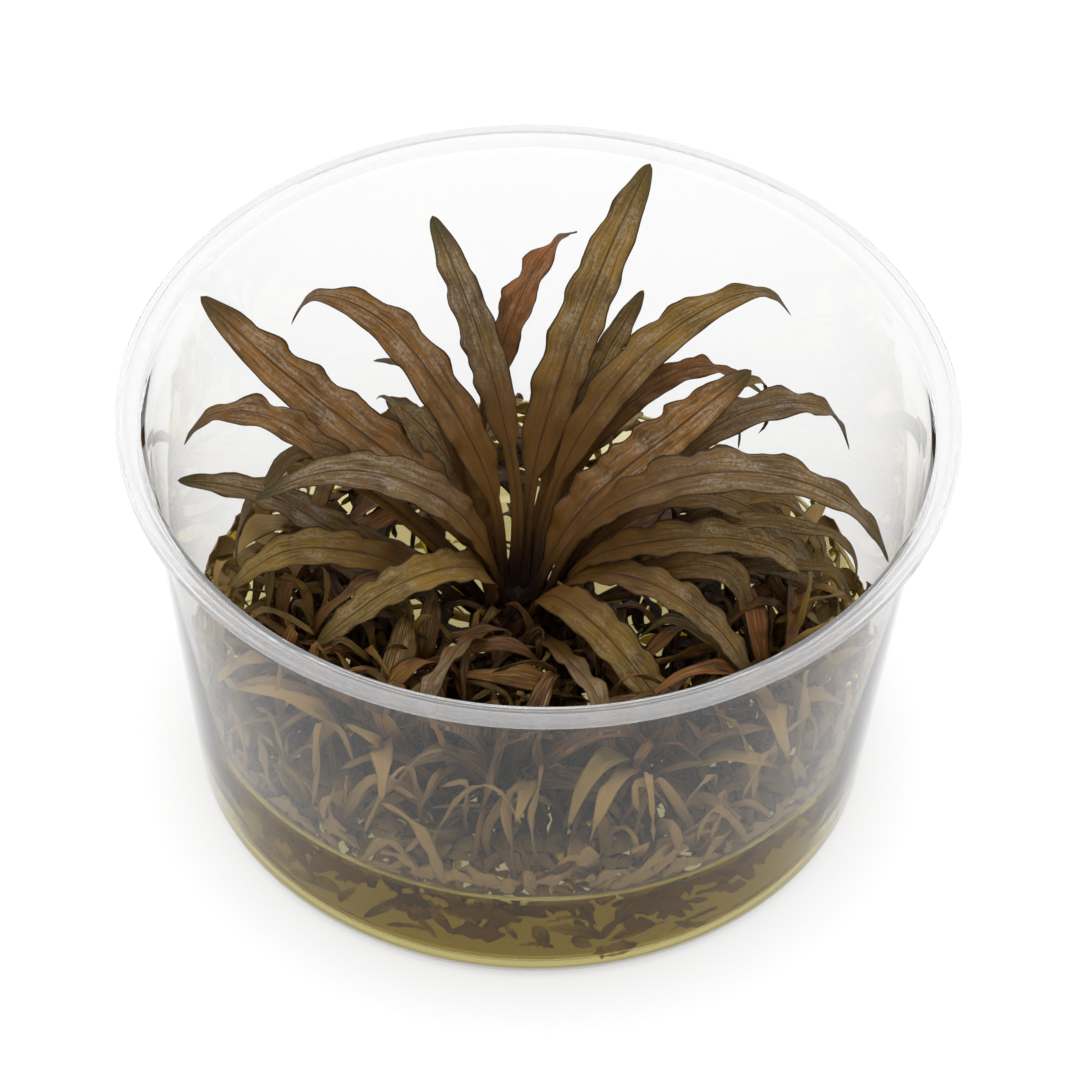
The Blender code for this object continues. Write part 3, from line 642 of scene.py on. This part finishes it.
def leaf_finish(name, body, patch, painted_sheen, tip, stalk=STALK_GOLD, shaded_foot=0.24, glow=0.0):
    """A leaf's satin skin: patches of painted light coming through and painted sheen over the body, fine
    veins, midrib, edge, tip and stalk, and painted shade at its foot.
    """
    graph = SkinGraph(name)
    place = graph.place()
    along = graph.part(graph.add("ShaderNodeAttribute", {"attribute_name": "leaf_at"}, out="Vector"))
    v, blade = along.output("Y"), along.output("Z")
    edge = abs(v)
    fine = graph.noise(graph.point(along * 3, v * 11, blade), 2.2, 2, 0.6)
    broad = graph.noise(graph.point(along * 7, v * 2, blade * 2), 1.6, 3)
    bands = graph.noise(graph.point(along * 5, v * 2.6, blade * 9), 1.0, 2)
    patches, specks = graph.noise(place, 130, 2), graph.noise(place, 2400, 2, 0.7)
    # Painted sheen: pale satin highlights in fine spots, weaker towards the edge
    sheen_spots = broad.rise(0.42, 0.62) * specks.rise(0.3, 0.6) * (1 - edge.rise(0.5, 0.9) * 0.6)
    rib = 1 - edge.rise(0.015, 0.08)
    skin = graph.painted(
        # Patches of painted light coming through the leaf, then painted sheen in spots
        colour(body), (patch, patches.rise(0.45, 0.66)), (painted_sheen, sheen_spots * 0.65 + specks.rise(0.42, 0.7) * 0.2),
        (RIB_DARK, bands.rise(0.52, 0.7) * 0.6), (patch, (1 - bands.rise(0.3, 0.48)) * 0.8),
        # Dark fine veins, with painted sheen between them
        (RIB_DARK, fine.rise(0.5, 0.66) * 0.6), (painted_sheen, (1 - fine.rise(0.3, 0.44)) * 0.4),
        (tip, along.rise(0.86, 1.0) * 0.8), (stalk, (1 - blade.rise(0.1, 0.58)) * 0.9),
        # Painted shade at the leaf's foot, deep in the crown
        (PAINTED_SHADE, 1 - along.rise(shaded_foot * 0.2, shaded_foot)), (RIB_DARK, rib * 0.7),
        (EDGE_DARK, edge.rise(0.88, 0.98) * blade.rise(0.02, 0.2) * 0.9))
    finish = {"Base Color": skin, "Roughness": 0.4 + specks * 0.3, "IOR": 1.45, "Specular IOR Level": 0.2,
              "Normal": graph.bump(fine * 0.7 + specks * 0.3 - rib * 0.5, 0.00035, 0.7)}
    if glow:
        finish |= {"Emission Color": skin, "Emission Strength": glow}
    return graph.result(finish)


# The leaves whose tips draw out into a thin hook or curl, and by how much; the others end bluntly
SLIM_TIPS = {
    "leaf_left_hooked": 0.6, "leaf_left_arched": 0.55, "leaf_right_arched": 0.6, "leaf_right_curled": 0.65,
    "leaf_back_rust": 0.5, "leaf_right_red": 0.5, "leaf_right_long": 0.4, "leaf_right_folded": 0.4,
    "leaf_left_long": 0.3, "leaf_left_low": 0.35, "leaf_right_drooped": 0.35,
}
LEAF_SLOTS = {name: "leaf_brown" if max(h for _, h in spec[3]) > 40 else "leaf_olive"
              for name, spec in LEAVES.items()}
leaves = leaf_tree()


def grown_leaves(piece, material, sides, stalk, blade, waves, groove, pucker, slim=0.3, notch=0.07):
    """Leaves grown on a piece's lines. A stalk is a thickness and a width, a blade its thickness and
    its rib's, and waves are a number and a height."""
    return grown(piece, leaves, {
        "Sides": sides, "Stalk thickness": stalk[0] * MM, "Stalk width": stalk[1] * MM,
        "Blade thickness": blade[0] * MM, "Rib": blade[1] * MM, "Waves": waves[0],
        "Wave height": waves[1] * MM, "Groove": groove, "Pucker height": pucker * MM, "Slim tip": slim,
        "Margin notch": notch, "Material": material})


for i, (name, (ring, angle, direction, path, bow, width, lean, stalk, look)) in enumerate(LEAVES.items()):
    turn = math.radians(angle)
    foot = np.array([CROWN_X + RING_RADIUS[ring] * math.cos(turn),
                     CROWN_Y + RING_RADIUS[ring] * math.sin(turn), RING_HEIGHT[ring]])
    knots = leaf_knots(foot, (CROWN_X, CROWN_Y), direction, path, bow)
    blade = strands_object(name + "_blade", [strand(knots, LEAF_STATIONS, width, lean, stalk, i / 22)])
    # The lower leaves' margins hardly wave
    wave_height, notch = (0.4, 0.025) if ring == 2 or name == "leaf_left_long" else (0.65, 0.07)
    grown_leaves(blade, leaf_finish(name + "_skin", *look), LEAF_SIDES, (STALK_THICK, STALK_WIDE),
                 (BLADE_THIN, RIB_THICK), (9.0, wave_height), groove=0.18, pucker=0.4,
                 slim=SLIM_TIPS.get(name, -0.15), notch=notch)
    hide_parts(name)
    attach(blade, "root")


# Narrow side leaves
# Young leaves with hardly any stalk, thin as straps, that arch out between the main ones and over
# the undergrowth to the wall, and short broad ones at the front. They have no solid of their own.
STRAP_STATIONS, STRAP_SIDES, STRAP_THICK, STRAP_STALK = 48, 14, 0.7, 0.9

# Each strap: direction, (reach, height) of the points it passes, width, lean, stalk share and look
STRAPS = {
    "strap_right": (0, ((12, 27), (22, 32.5), (31.3, 34.8), (34.7, 33.7), (37.8, 33.1), (39.8, 30.9),
        (41.1, 27.4), (41.1, 24.5)), 2.2, 25, 0.3, OLIVE_BROWN),
    "strap_back": (8, ((12, 26), (24, 33), (32.4, 34.2), (35.2, 30.6), (37, 27), (37.8, 22.6)), 1.8, 20, 0.3,
        OLIVE_BROWN),
    "strap_right_low": (-4, ((14, 22.5), (27, 28.5), (36.6, 29.7), (38.6, 29.3), (39.7, 27.1), (41.1, 23.7)),
        1.9, 20, 0.3, DARK_BROWN),
    "strap_left": (175, ((10, 30), (19, 39), (26.5, 42.5), (29.7, 38.3), (33, 32.4), (34.4, 26.8),
        (34.7, 22.2)), 2.3, -30, 0.3, DARK_BROWN),
    "strap_upright": (35, ((12, 31), (24, 38), (31, 38), (32.6, 33), (32.5, 28.2)), 2.0, 20, 0.15,
        OLIVE_BROWN),
    "strap_hooked": (30, ((14, 34), (28, 42.5), (33.5, 42), (34.4, 37), (34.3, 34), (33.4, 33)), 1.9, 0, 0.15,
        GOLDEN_OLIVE),
    "strap_behind": (132, ((8, 28), (16, 41.5), (21.2, 43.9), (24.4, 42.5), (27.6, 40.1)), 1.7, -20, 0.4,
        DARK_BROWN),
    "strap_curled": (150, ((8, 28), (14, 38), (17.1, 42.8), (18.5, 44.6), (19.8, 44.6), (20.5, 43.6)), 1.1, 0,
        0.5, GREY_BROWN),
    "strap_yellow": (-178, ((14, 21), (25, 22), (31.5, 23.5), (35, 25.7), (37, 26), (38.4, 24.6)), 1.8, 0,
        0.2, GOLDEN_OLIVE),
    "leaf_right_bent": (-14, ((10.2, 27.1), (16.4, 29.5), (22.5, 32.5), (26, 32.5), (28.3, 28.5), (28.8, 24),
        (28.7, 19.4)), 3.6, 30, 0.35, DARK_BROWN),
    "leaf_front_short": (-111, ((5.8, 21), (17, 28.8), (23.6, 31), (28.6, 31), (29.8, 27.5), (28.5, 21.5),
        (27.2, 16.3)), 3.2, 30, 0.2, GREY_BROWN),
    "leaf_front_dropped": (-69, ((6.5, 21.5), (15, 25.5), (23, 29), (28.5, 30), (31, 26.5), (32.5, 21),
        (33, 16.3)), 3.6, -20, 0.2, GREY_BROWN),
}
for i, (name, (direction, path, width, lean, stalk, look)) in enumerate(STRAPS.items()):
    foot = np.array([CROWN_X, CROWN_Y, RING_HEIGHT[0] - 1])
    knots = leaf_knots(foot, (CROWN_X, CROWN_Y), direction, path, 0)
    strap = strands_object(name, [strand(knots, STRAP_STATIONS, width, lean, stalk, 0.3 + i / 7)])
    grown_leaves(strap, leaf_finish(name + "_skin", *look, shaded_foot=0.3), STRAP_SIDES,
                 (STRAP_THICK, STRAP_STALK), (BLADE_THIN, RIB_THICK), (7.0, 0.35), groove=0.2, pucker=0.2,
                 notch=0.05)
    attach(strap, "root")


# Crown
# The short brown rhizome that every leaf and root grows from. Eight stout pale roots arch down from
# it and spread through the gel, and thin side roots branch from them.
CROWN_LIFT, CROWN_RADIUS = 0.8, 5.7
ROOTS, ROOT_STATIONS, ROOT_THICK = 8, 40, 1.2
ROOT_PATH = ((3.2, 17.3), (5.6, 12.0), (11.0, 8.0), (20.0, 5.6), (30.0, 4.4))
SIDE_ROOTS, SIDE_THIN, SIDE_THICK, SIDE_STEP = 11, 0.22, 0.42, (1, 2.2)
RHIZOME_SIDES = 48
RHIZOME_BROWN, ROOT_PALE, ROOT_BROWN = "#2b170b", "#a8966a", "#6d5530"


def root_tree():
    """Roots from lines: round threads that thin towards their tips."""
    graph = ShapeGraph("roots")
    lines, sides = graph.size("Lines", "Geometry"), graph.size("Sides", "Int")
    material = graph.size("Material", "Material")
    tube = swept(graph, lines, sides)
    along, turn = graph.carried("along"), graph.carried("around") * (2 * math.pi)
    ends = (along * 50).clamped() ** 0.5 * ((1 - along) * 2).clamped() ** 0.6
    chance = graph.carried("chance")
    swell = graph.noise(graph.point(along * 14, chance * 50), 1.0)
    radius = graph.carried("width") * 0.5 * ends * (0.8 + swell * 0.4)
    shape = moved(graph, tube, turn.math("COSINE") * radius, turn.math("SINE") * radius)
    shape = graph.stored(shape, "leaf_at", graph.point(along, turn, chance), "FLOAT_VECTOR")
    return graph.result(shape, material)


def root_finish(name, pale, dark):
    """A root's dull skin, paler and darker by the stretch."""
    graph = SkinGraph(name)
    place = graph.place()
    stretches, grain = graph.noise(place, 150, 2), graph.noise(place, 1500, 2)
    return graph.result({
        "Base Color": graph.painted(colour(pale), (dark, stretches.rise(0.4, 0.65))),
        "Roughness": 0.6 + grain * 0.2, "Normal": graph.bump(grain, 0.0001, 0.5), "Specular IOR Level": 0.1})


def from_crown(angle, reach, height):
    """A point at a reach from the crown's middle."""
    turn = math.radians(angle)
    return np.array([CROWN_X + reach * math.cos(turn), CROWN_Y + reach * math.sin(turn), height])


def side_root(dice, root):
    """A thin root that leaves a stout one somewhere beyond its bend and wanders beside it."""
    start = dice.randint(len(root) // 3, len(root) - 3)
    knots = [root[start]]
    way = root[start + 2] - root[start]
    heading = math.atan2(way[1], way[0]) + dice.choice((-1, 1)) * dice.uniform(0.3, 1.3)
    for _ in range(3):
        heading += dice.uniform(-0.6, 0.6)
        step = dice.uniform(*SIDE_STEP)
        place = knots[-1] + (step * math.cos(heading), step * math.sin(heading), dice.uniform(-1.2, 1.2))
        place[2] = np.clip(place[2], gel_floor + 0.8, GEL_TOP - 1)
        place[:2] *= min(1, (wall_inside(place[2]) - 1) / np.hypot(*place[:2]))
        knots.append(place)
    return strand(knots, 10, dice.uniform(SIDE_THIN, SIDE_THICK), 0, 0, dice.uniform(0, 1))


roots = root_tree()
crown_foot, crown_top = GEL_TOP + CROWN_LIFT, RING_HEIGHT[0] - 0.7
rhizome = turned("rhizome", rounded([
    (0, crown_foot), (CROWN_RADIUS - 1, crown_foot), (CROWN_RADIUS, crown_foot + 0.8),
    (CROWN_RADIUS - 0.2, crown_top - 1.9), (4.1, crown_top - 1.6), (4.0, crown_top - 1.0),
    (2.6, crown_top - 0.8), (2.4, crown_top - 0.1), (0, crown_top)], 0.3), RHIZOME_SIDES)
for point in rhizome.data.vertices:
    point.co += Vector((CROWN_X, CROWN_Y, 0)) * MM
smooth(rhizome)
rhizome.data.materials.append(root_finish("rhizome_skin", RHIZOME_BROWN, "#140a05"))
crown_strands, dice = [], np.random.RandomState(12)
for i in range(ROOTS):
    knots = [from_crown(360 * i / ROOTS, reach, height) for reach, height in ROOT_PATH]
    root = strand(knots, ROOT_STATIONS, ROOT_THICK, 0, 0, i / ROOTS)
    crown_strands.append(root)
    crown_strands += [side_root(dice, root["points"]) for _ in range(SIDE_ROOTS)]
crown = grown(strands_object("crown_and_roots", crown_strands), roots,
              {"Sides": 10, "Material": root_finish("crown_root_skin", ROOT_PALE, ROOT_BROWN)})
joined(crown, rhizome)
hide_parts("crown")
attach(crown, "root")


# Undergrowth
# Twelve plantlets crowd the gel round the main plant. Each has a few arching leaves from one stem, a
# tangle of small, twisted ones between them, a mat of short ones below, and some sunk beside the wall.
PLANTLETS = {
    "plantlet_front": (-3, -27, 14), "plantlet_front_left": (-20, -21, 14),
    "plantlet_front_right": (15, -24, 13), "plantlet_left": (-30, -6, 13),
    "plantlet_left_back": (-27, 13, 9), "plantlet_back_left": (-14, 28, 5),
    "plantlet_back": (4, 30, 5), "plantlet_back_right": (20, 23, 7),
    "plantlet_right": (30, 9, 11), "plantlet_right_front": (29, -10, 14),
    "plantlet_inner_left": (-14, -9, 11), "plantlet_inner_right": (7, -12, 11),
}
GAP, STEM_HEIGHT = 0.3, 2.5
PLANTLET_LEAVES, SEED = 6, 31
SHORTEST, LONGEST, NARROWEST, WIDEST = 11.0, 19.0, 2.2, 3.6
GOLDEN_ANGLE = 137.5
TANGLE_LEAVES, MAT_LEAVES, FRONT_TO_BACK = (60, 14), (54, 8), (0, 25)
WALL_LEAVES, FRONT_TO_SIDE = (32, 4), (-5, 0)
TANGLE_SPREAD, WALL_ROOM = 9.0, 0.75
TANGLE_SUNK, TANGLE_REACH, TANGLE_WIDTH, TANGLE_TWIST = (0.3, 3), (3, 15), (0.8, 2.1), (-140, 140)
WALL_INSET, WALL_FOOT, WALL_REACH, WALL_RISE, WALL_WIDTH = (1.5, 6), (-10, 1), (5, 14), (1, 6), (1.3, 3.0)
MAT_LIFT, MAT_REACH, MAT_RISE, MAT_WIDTH, MAT_TILT = (0.3, 1.2), (6, 10), (0.3, 1.6), (2, 3.4), (-35, 35)
TANGLE_STATIONS, MAT_STATIONS, NO_STALK = 16, 8, 0.02

# How high the tangle reaches at a place: past this height plus its distance back, it would close the
# clear gaps between the main leaves
SIGHT_SIDE, SIGHT_HIGH = (0, 20, 32, 41), (43, 42, 35, 28)


def plantlet_knots(centre, tallest, j, chance, turn, shrink):
    """The points one arching leaf of a plantlet passes, from its stem."""
    direction = GOLDEN_ANGLE * j + chance[0] * 40 + turn
    reach = (SHORTEST + chance[1] * (LONGEST - SHORTEST)) * shrink
    top = GEL_TOP + 3 + (tallest - 3) * (0.55 + 0.45 * chance[2]) * shrink
    tip = top - chance[3] * 0.55 * (top - GEL_TOP - 1)
    turn = math.radians(direction)
    foot = np.array([centre[0] + math.cos(turn), centre[1] + math.sin(turn),
                     GEL_TOP + GAP + STEM_HEIGHT * (0.3 + 0.06 * j)])
    path = ((reach * 0.3, GEL_TOP + (top - GEL_TOP) * 0.75), (reach * 0.65, top), (reach, tip))
    return leaf_knots(foot, centre, direction, path, (chance[5] - 0.5) * 5)


def solid_leaves(name, x, y, tallest, seed):
    """The leaves of a plantlet's solid. It turned or shortened some: the turn that ends at one of its
    corners is the one that it used."""
    corners = np.array([p.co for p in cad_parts[name].data.vertices]) / MM
    found = []
    for j, chance in enumerate(np.random.RandomState(seed + SEED).random_sample((PLANTLET_LEAVES, 7))):
        for shrink in (1, 0.8, 0.65):
            for turn in (0, 18, -18, 36, -36):
                knots = plantlet_knots((x, y), tallest, j, chance, turn, shrink)
                if np.linalg.norm(corners - knots[-1], axis=1).min() < 0.05:
                    width = NARROWEST + chance[4] * (WIDEST - NARROWEST)
                    found.append(strand(knots, 22, width, (chance[6] - 0.5) * 50, 0.2, chance[0]))
    return found


def against_wall(line):
    """Keeps a leaf's line inside the wall, and turns its blade flat to the wall where it touches."""
    points = line["points"]
    reach = np.hypot(points[:, 0], points[:, 1])
    limit = wall_inside(points[:, 2]) - WALL_ROOM
    near = np.clip((reach - limit + 4) / 4, 0, 1)[:, None]
    points[:, :2] *= np.minimum(1, limit / reach)[:, None]
    ahead = unit(np.gradient(points, axis=0))
    inward = -points * (1, 1, 0)
    up = unit(line["up"] * (1 - near) + unit(inward) * near)
    line["across"] = unit(np.cross(up, ahead))
    line["up"] = np.cross(ahead, line["across"])
    return line


def tangle_leaf(dice, x, y, tallest):
    """A small leaf that rises from the gel near (x, y), bends over and twists."""
    foot = np.array([*dice.normal((x, y), TANGLE_SPREAD), GEL_TOP - dice.uniform(*TANGLE_SUNK)])
    foot[:2] *= min(1, (wall_inside(GEL_TOP) - 2) / np.hypot(*foot[:2]))
    reach, height = dice.uniform(*TANGLE_REACH), dice.uniform(3, tallest + 2)
    path = ((reach * 0.25, foot[2] + height * 0.6), (reach * 0.6, foot[2] + height),
            (reach, foot[2] + height * dice.uniform(0.5, 1.05)))
    knots = np.array(leaf_knots(foot, foot[:2], dice.uniform(0, 360), path, dice.uniform(-3, 3)))
    knots[1:] += dice.normal(0, 0.8, (3, 3))
    room = np.interp(abs(knots[1:, 0]), SIGHT_SIDE, SIGHT_HIGH) - knots[1:, 1] - foot[2] - dice.uniform(0, 3)
    knots[1:, 2] = foot[2] + (knots[1:, 2] - foot[2]) * np.clip(room / (knots[1:, 2] - foot[2]), 0.1, 1).min()
    line = strand(knots, TANGLE_STATIONS, dice.uniform(*TANGLE_WIDTH), dice.uniform(*TANGLE_TWIST),
                  dice.uniform(0.02, 0.35), dice.uniform(0, 1))
    return against_wall(line)


def wall_leaf(dice, x, y):
    """A short leaf beside the wall, partly sunk in the gel."""
    turn = math.atan2(y, x) + dice.normal(0, 0.28)
    foot = np.array([math.cos(turn), math.sin(turn), 0]) * (wall_inside(GEL_TOP) - dice.uniform(*WALL_INSET))
    foot[2] = GEL_TOP + dice.uniform(*WALL_FOOT)
    reach, height = dice.uniform(*WALL_REACH), dice.uniform(*WALL_RISE)
    path = ((reach * 0.3, foot[2] + height * 0.7), (reach * 0.65, foot[2] + height),
            (reach, foot[2] + height * dice.uniform(0.2, 1)))
    knots = leaf_knots(foot, foot[:2], dice.uniform(0, 360), path, dice.uniform(-2, 2))
    line = strand(knots, TANGLE_STATIONS, dice.uniform(*WALL_WIDTH), dice.uniform(*TANGLE_TWIST), NO_STALK,
                  dice.uniform(0, 1))
    return against_wall(line)


def mat_leaf(dice, x, y):
    """A short leaf that lies on the gel, under the others."""
    foot = np.array([*dice.normal((x, y), TANGLE_SPREAD), GEL_TOP + dice.uniform(*MAT_LIFT)])
    foot[:2] *= min(1, (wall_inside(GEL_TOP) - 3) / np.hypot(*foot[:2]))
    reach, height = dice.uniform(*MAT_REACH), dice.uniform(*MAT_RISE)
    path = ((reach * 0.5, foot[2] + height), (reach, foot[2] + height * dice.uniform(0, 0.8)))
    knots = leaf_knots(foot, foot[:2], dice.uniform(0, 360), path, dice.uniform(-2, 2))
    line = strand(knots, MAT_STATIONS, dice.uniform(*MAT_WIDTH), dice.uniform(*MAT_TILT), NO_STALK,
                  dice.uniform(0, 1))
    return against_wall(line)


def undergrowth_finish():
    """The small leaves' skin: olive, brown or reddish by the leaf, with painted shade low down away from the
    wall, painted light beside the wall, and pale yellow painted light under the gel's top there.
    """
    graph = SkinGraph("undergrowth_skin")
    place = graph.place()
    height = graph.part(place, "Z")
    level = place.vector("MULTIPLY", graph.point(1.0, 1.0))
    reach = graph.add("ShaderNodeVectorMath", {"operation": "LENGTH"}, {0: level}, out="Value")
    kind = graph.add("ShaderNodeAttribute", {"attribute_name": "chance"}, out="Fac")
    along = graph.part(graph.add("ShaderNodeAttribute", {"attribute_name": "leaf_at"}, out="Vector"))
    v, blade = along.output("Y"), along.output("Z")
    kinds = ((0.0, "#4c3812"), (0.25, "#40260a"), (0.45, "#6a3f1a"), (0.6, "#5a4a14"), (0.8, "#552c0c"),
             (1.0, "#7a5e20"))
    by_leaf = graph.add("ShaderNodeValToRGB", {"stops": [(at, colour(code)) for at, code in kinds]},
                        {"Fac": kind}, out="Color")
    veins = graph.noise(graph.point(along * 3, v * 5, kind * 30), 1.9, 2)
    blotches = graph.noise(place, 260, 2)
    # Painted shade: darker low down, less so near the wall
    painted_shade_low = (1 - height.rise(14 * MM, 25 * MM)) * (1 - reach.rise(29 * MM, 37 * MM) * 0.8)
    # Painted light: pale yellow where the leaves beside the wall sink into the gel
    painted_light_in_gel = (1 - height.rise((GEL_TOP - 1) * MM, (GEL_TOP + 0.5) * MM)) * reach.rise(30 * MM, 35 * MM)
    skin = graph.painted(
        by_leaf, ("#8f7448", veins.rise(0.52, 0.66) * 0.6), ("#1f1309", (1 - veins.rise(0.3, 0.46)) * 0.6),
        ("#241509", blotches.rise(0.5, 0.7) * 0.6), ("#1c120a", abs(v).rise(0.84, 0.98) * 0.7),
        # Painted light on the leaves beside the wall
        (STALK_GOLD, (1 - blade.rise(0.0, 0.25)) * 0.8), ("#a88a52", reach.rise(31 * MM, 38 * MM) * 0.65),
        # Painted shade low down, and painted light in the gel beside the wall
        (PAINTED_SHADE, painted_shade_low * 0.9), ("#c8b058", painted_light_in_gel * 0.8))
    return graph.result({
        "Base Color": skin, "Roughness": 0.4 + blotches * 0.25, "IOR": 1.45, "Specular IOR Level": 0.2,
        "Normal": graph.bump(veins, 0.0003, 0.6)})


undergrowth_skin = undergrowth_finish()
for seed, (name, (x, y, tallest)) in enumerate(PLANTLETS.items()):
    dice = np.random.RandomState(seed + 400)
    lines = [against_wall(line) for line in solid_leaves(name, x, y, tallest, seed)]
    in_tangle, in_mat = (int(np.interp(y, FRONT_TO_BACK, counts)) for counts in (TANGLE_LEAVES, MAT_LEAVES))
    beside_wall = int(np.interp(y, FRONT_TO_SIDE, WALL_LEAVES))
    lines += [tangle_leaf(dice, x, y, tallest) for _ in range(in_tangle)]
    lines += [wall_leaf(dice, x, y) for _ in range(beside_wall)]
    lines += [mat_leaf(dice, x, y) for _ in range(in_mat)]
    growth = grown_leaves(strands_object(name + "_leaves", lines), undergrowth_skin, 8, (0.7, 0.8),
                          (0.14, 0.2), (3.0, 0.35), groove=0.3, pucker=0.15)
    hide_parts(name)
    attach(growth, "root")


# Old leaves in the gel
# Seven yellowed leaves lie in the gel between the roots, each with torn scraps beside it. They are
# thin, and their skin glows a little: painted light coming through them.
SUNKEN_LEAVES = {
    "sunken_leaf_front": (-112, 19, 12, 16, 3.4, 7.5),
    "sunken_leaf_front_right": (-68, 18, -14, 17, 7.0, 3.4),
    "sunken_leaf_right": (-23, 18, 14, 15, 3.4, 6.5),
    "sunken_leaf_back_right": (22, 15, -12, 14, 6.0, 3.4),
    "sunken_leaf_back_left": (113, 14, 10, 14, 3.4, 6.0),
    "sunken_leaf_left": (158, 17, -12, 14, 6.5, 3.4),
    "sunken_leaf_front_left": (-157, 18, -14, 16, 3.4, 7.0),
}
SUNKEN_WIDTH, FRONT_SCRAPS, BACK_SCRAPS = 3.0, 44, 6
SCRAP_OUTWARD, SCRAP_LENGTH, SCRAP_WIDTH, SCRAP_TOP = (1, 1.7), (3.5, 9), (0.9, 2.2), 11.0
SCRAP_YELLOW, SCRAP_OLIVE, SCRAP_BROWN, SCRAP_GLOW = "#e8cf3c", "#b09a28", "#7a5f20", 0.3


def scrap(dice, line):
    """A torn strip beside an old leaf's line, or between it and the wall."""
    place = Matrix.Rotation(dice.normal(0, 0.3), 3, "Z") @ Vector(line[dice.randint(len(line))])
    outward = dice.uniform(*SCRAP_OUTWARD)
    place = np.array(place) * (outward, outward, 1) + dice.normal(0, 1, 3) * (2.6, 2.6, 1.8)
    heading, length = dice.uniform(0, 2 * math.pi), dice.uniform(*SCRAP_LENGTH)
    way = np.array([math.cos(heading), math.sin(heading), dice.uniform(-0.2, 0.2)]) * length
    knots = np.array([place, place + way * 0.5 + (0, 0, 0.4), place + way])
    knots[:, 2] = np.clip(knots[:, 2], gel_floor + 0.6, SCRAP_TOP)
    for knot in knots:
        knot[:2] *= min(1, (wall_inside(knot[2]) - 1) / np.hypot(*knot[:2]))
    return strand(knots, 10, dice.uniform(*SCRAP_WIDTH), dice.uniform(-60, 60), 0.05, dice.uniform(0, 1))


# The old leaves' skin glows a little: painted light
old_leaf_skin = leaf_finish("old_leaf_skin", SCRAP_OLIVE, SCRAP_YELLOW, "#d0c268", SCRAP_YELLOW, SCRAP_BROWN,
                            shaded_foot=0.02, glow=SCRAP_GLOW)
dice = np.random.RandomState(77)
for i, (name, (angle, reach, turn, length, low, high)) in enumerate(SUNKEN_LEAVES.items()):
    foot = from_crown(angle, reach, low)
    way = from_crown(angle + turn, length, high - low) - from_crown(0, 0, 0)
    line = strand([foot, foot + way * 0.5 + (0, 0, 0.3), foot + way], 40, SUNKEN_WIDTH, 0, 0.1, i / 7)
    scraps = FRONT_SCRAPS if foot[1] < 0 else BACK_SCRAPS
    lines = [line] + [scrap(dice, line["points"]) for _ in range(scraps)]
    old_leaf = grown_leaves(strands_object(name + "_torn", lines), old_leaf_skin, 10, (0.4, 0.5),
                            (0.12, 0.1), (5.0, 0.3), groove=0.2, pucker=0.25, slim=0.2)
    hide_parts(name)
    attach(old_leaf, "root")
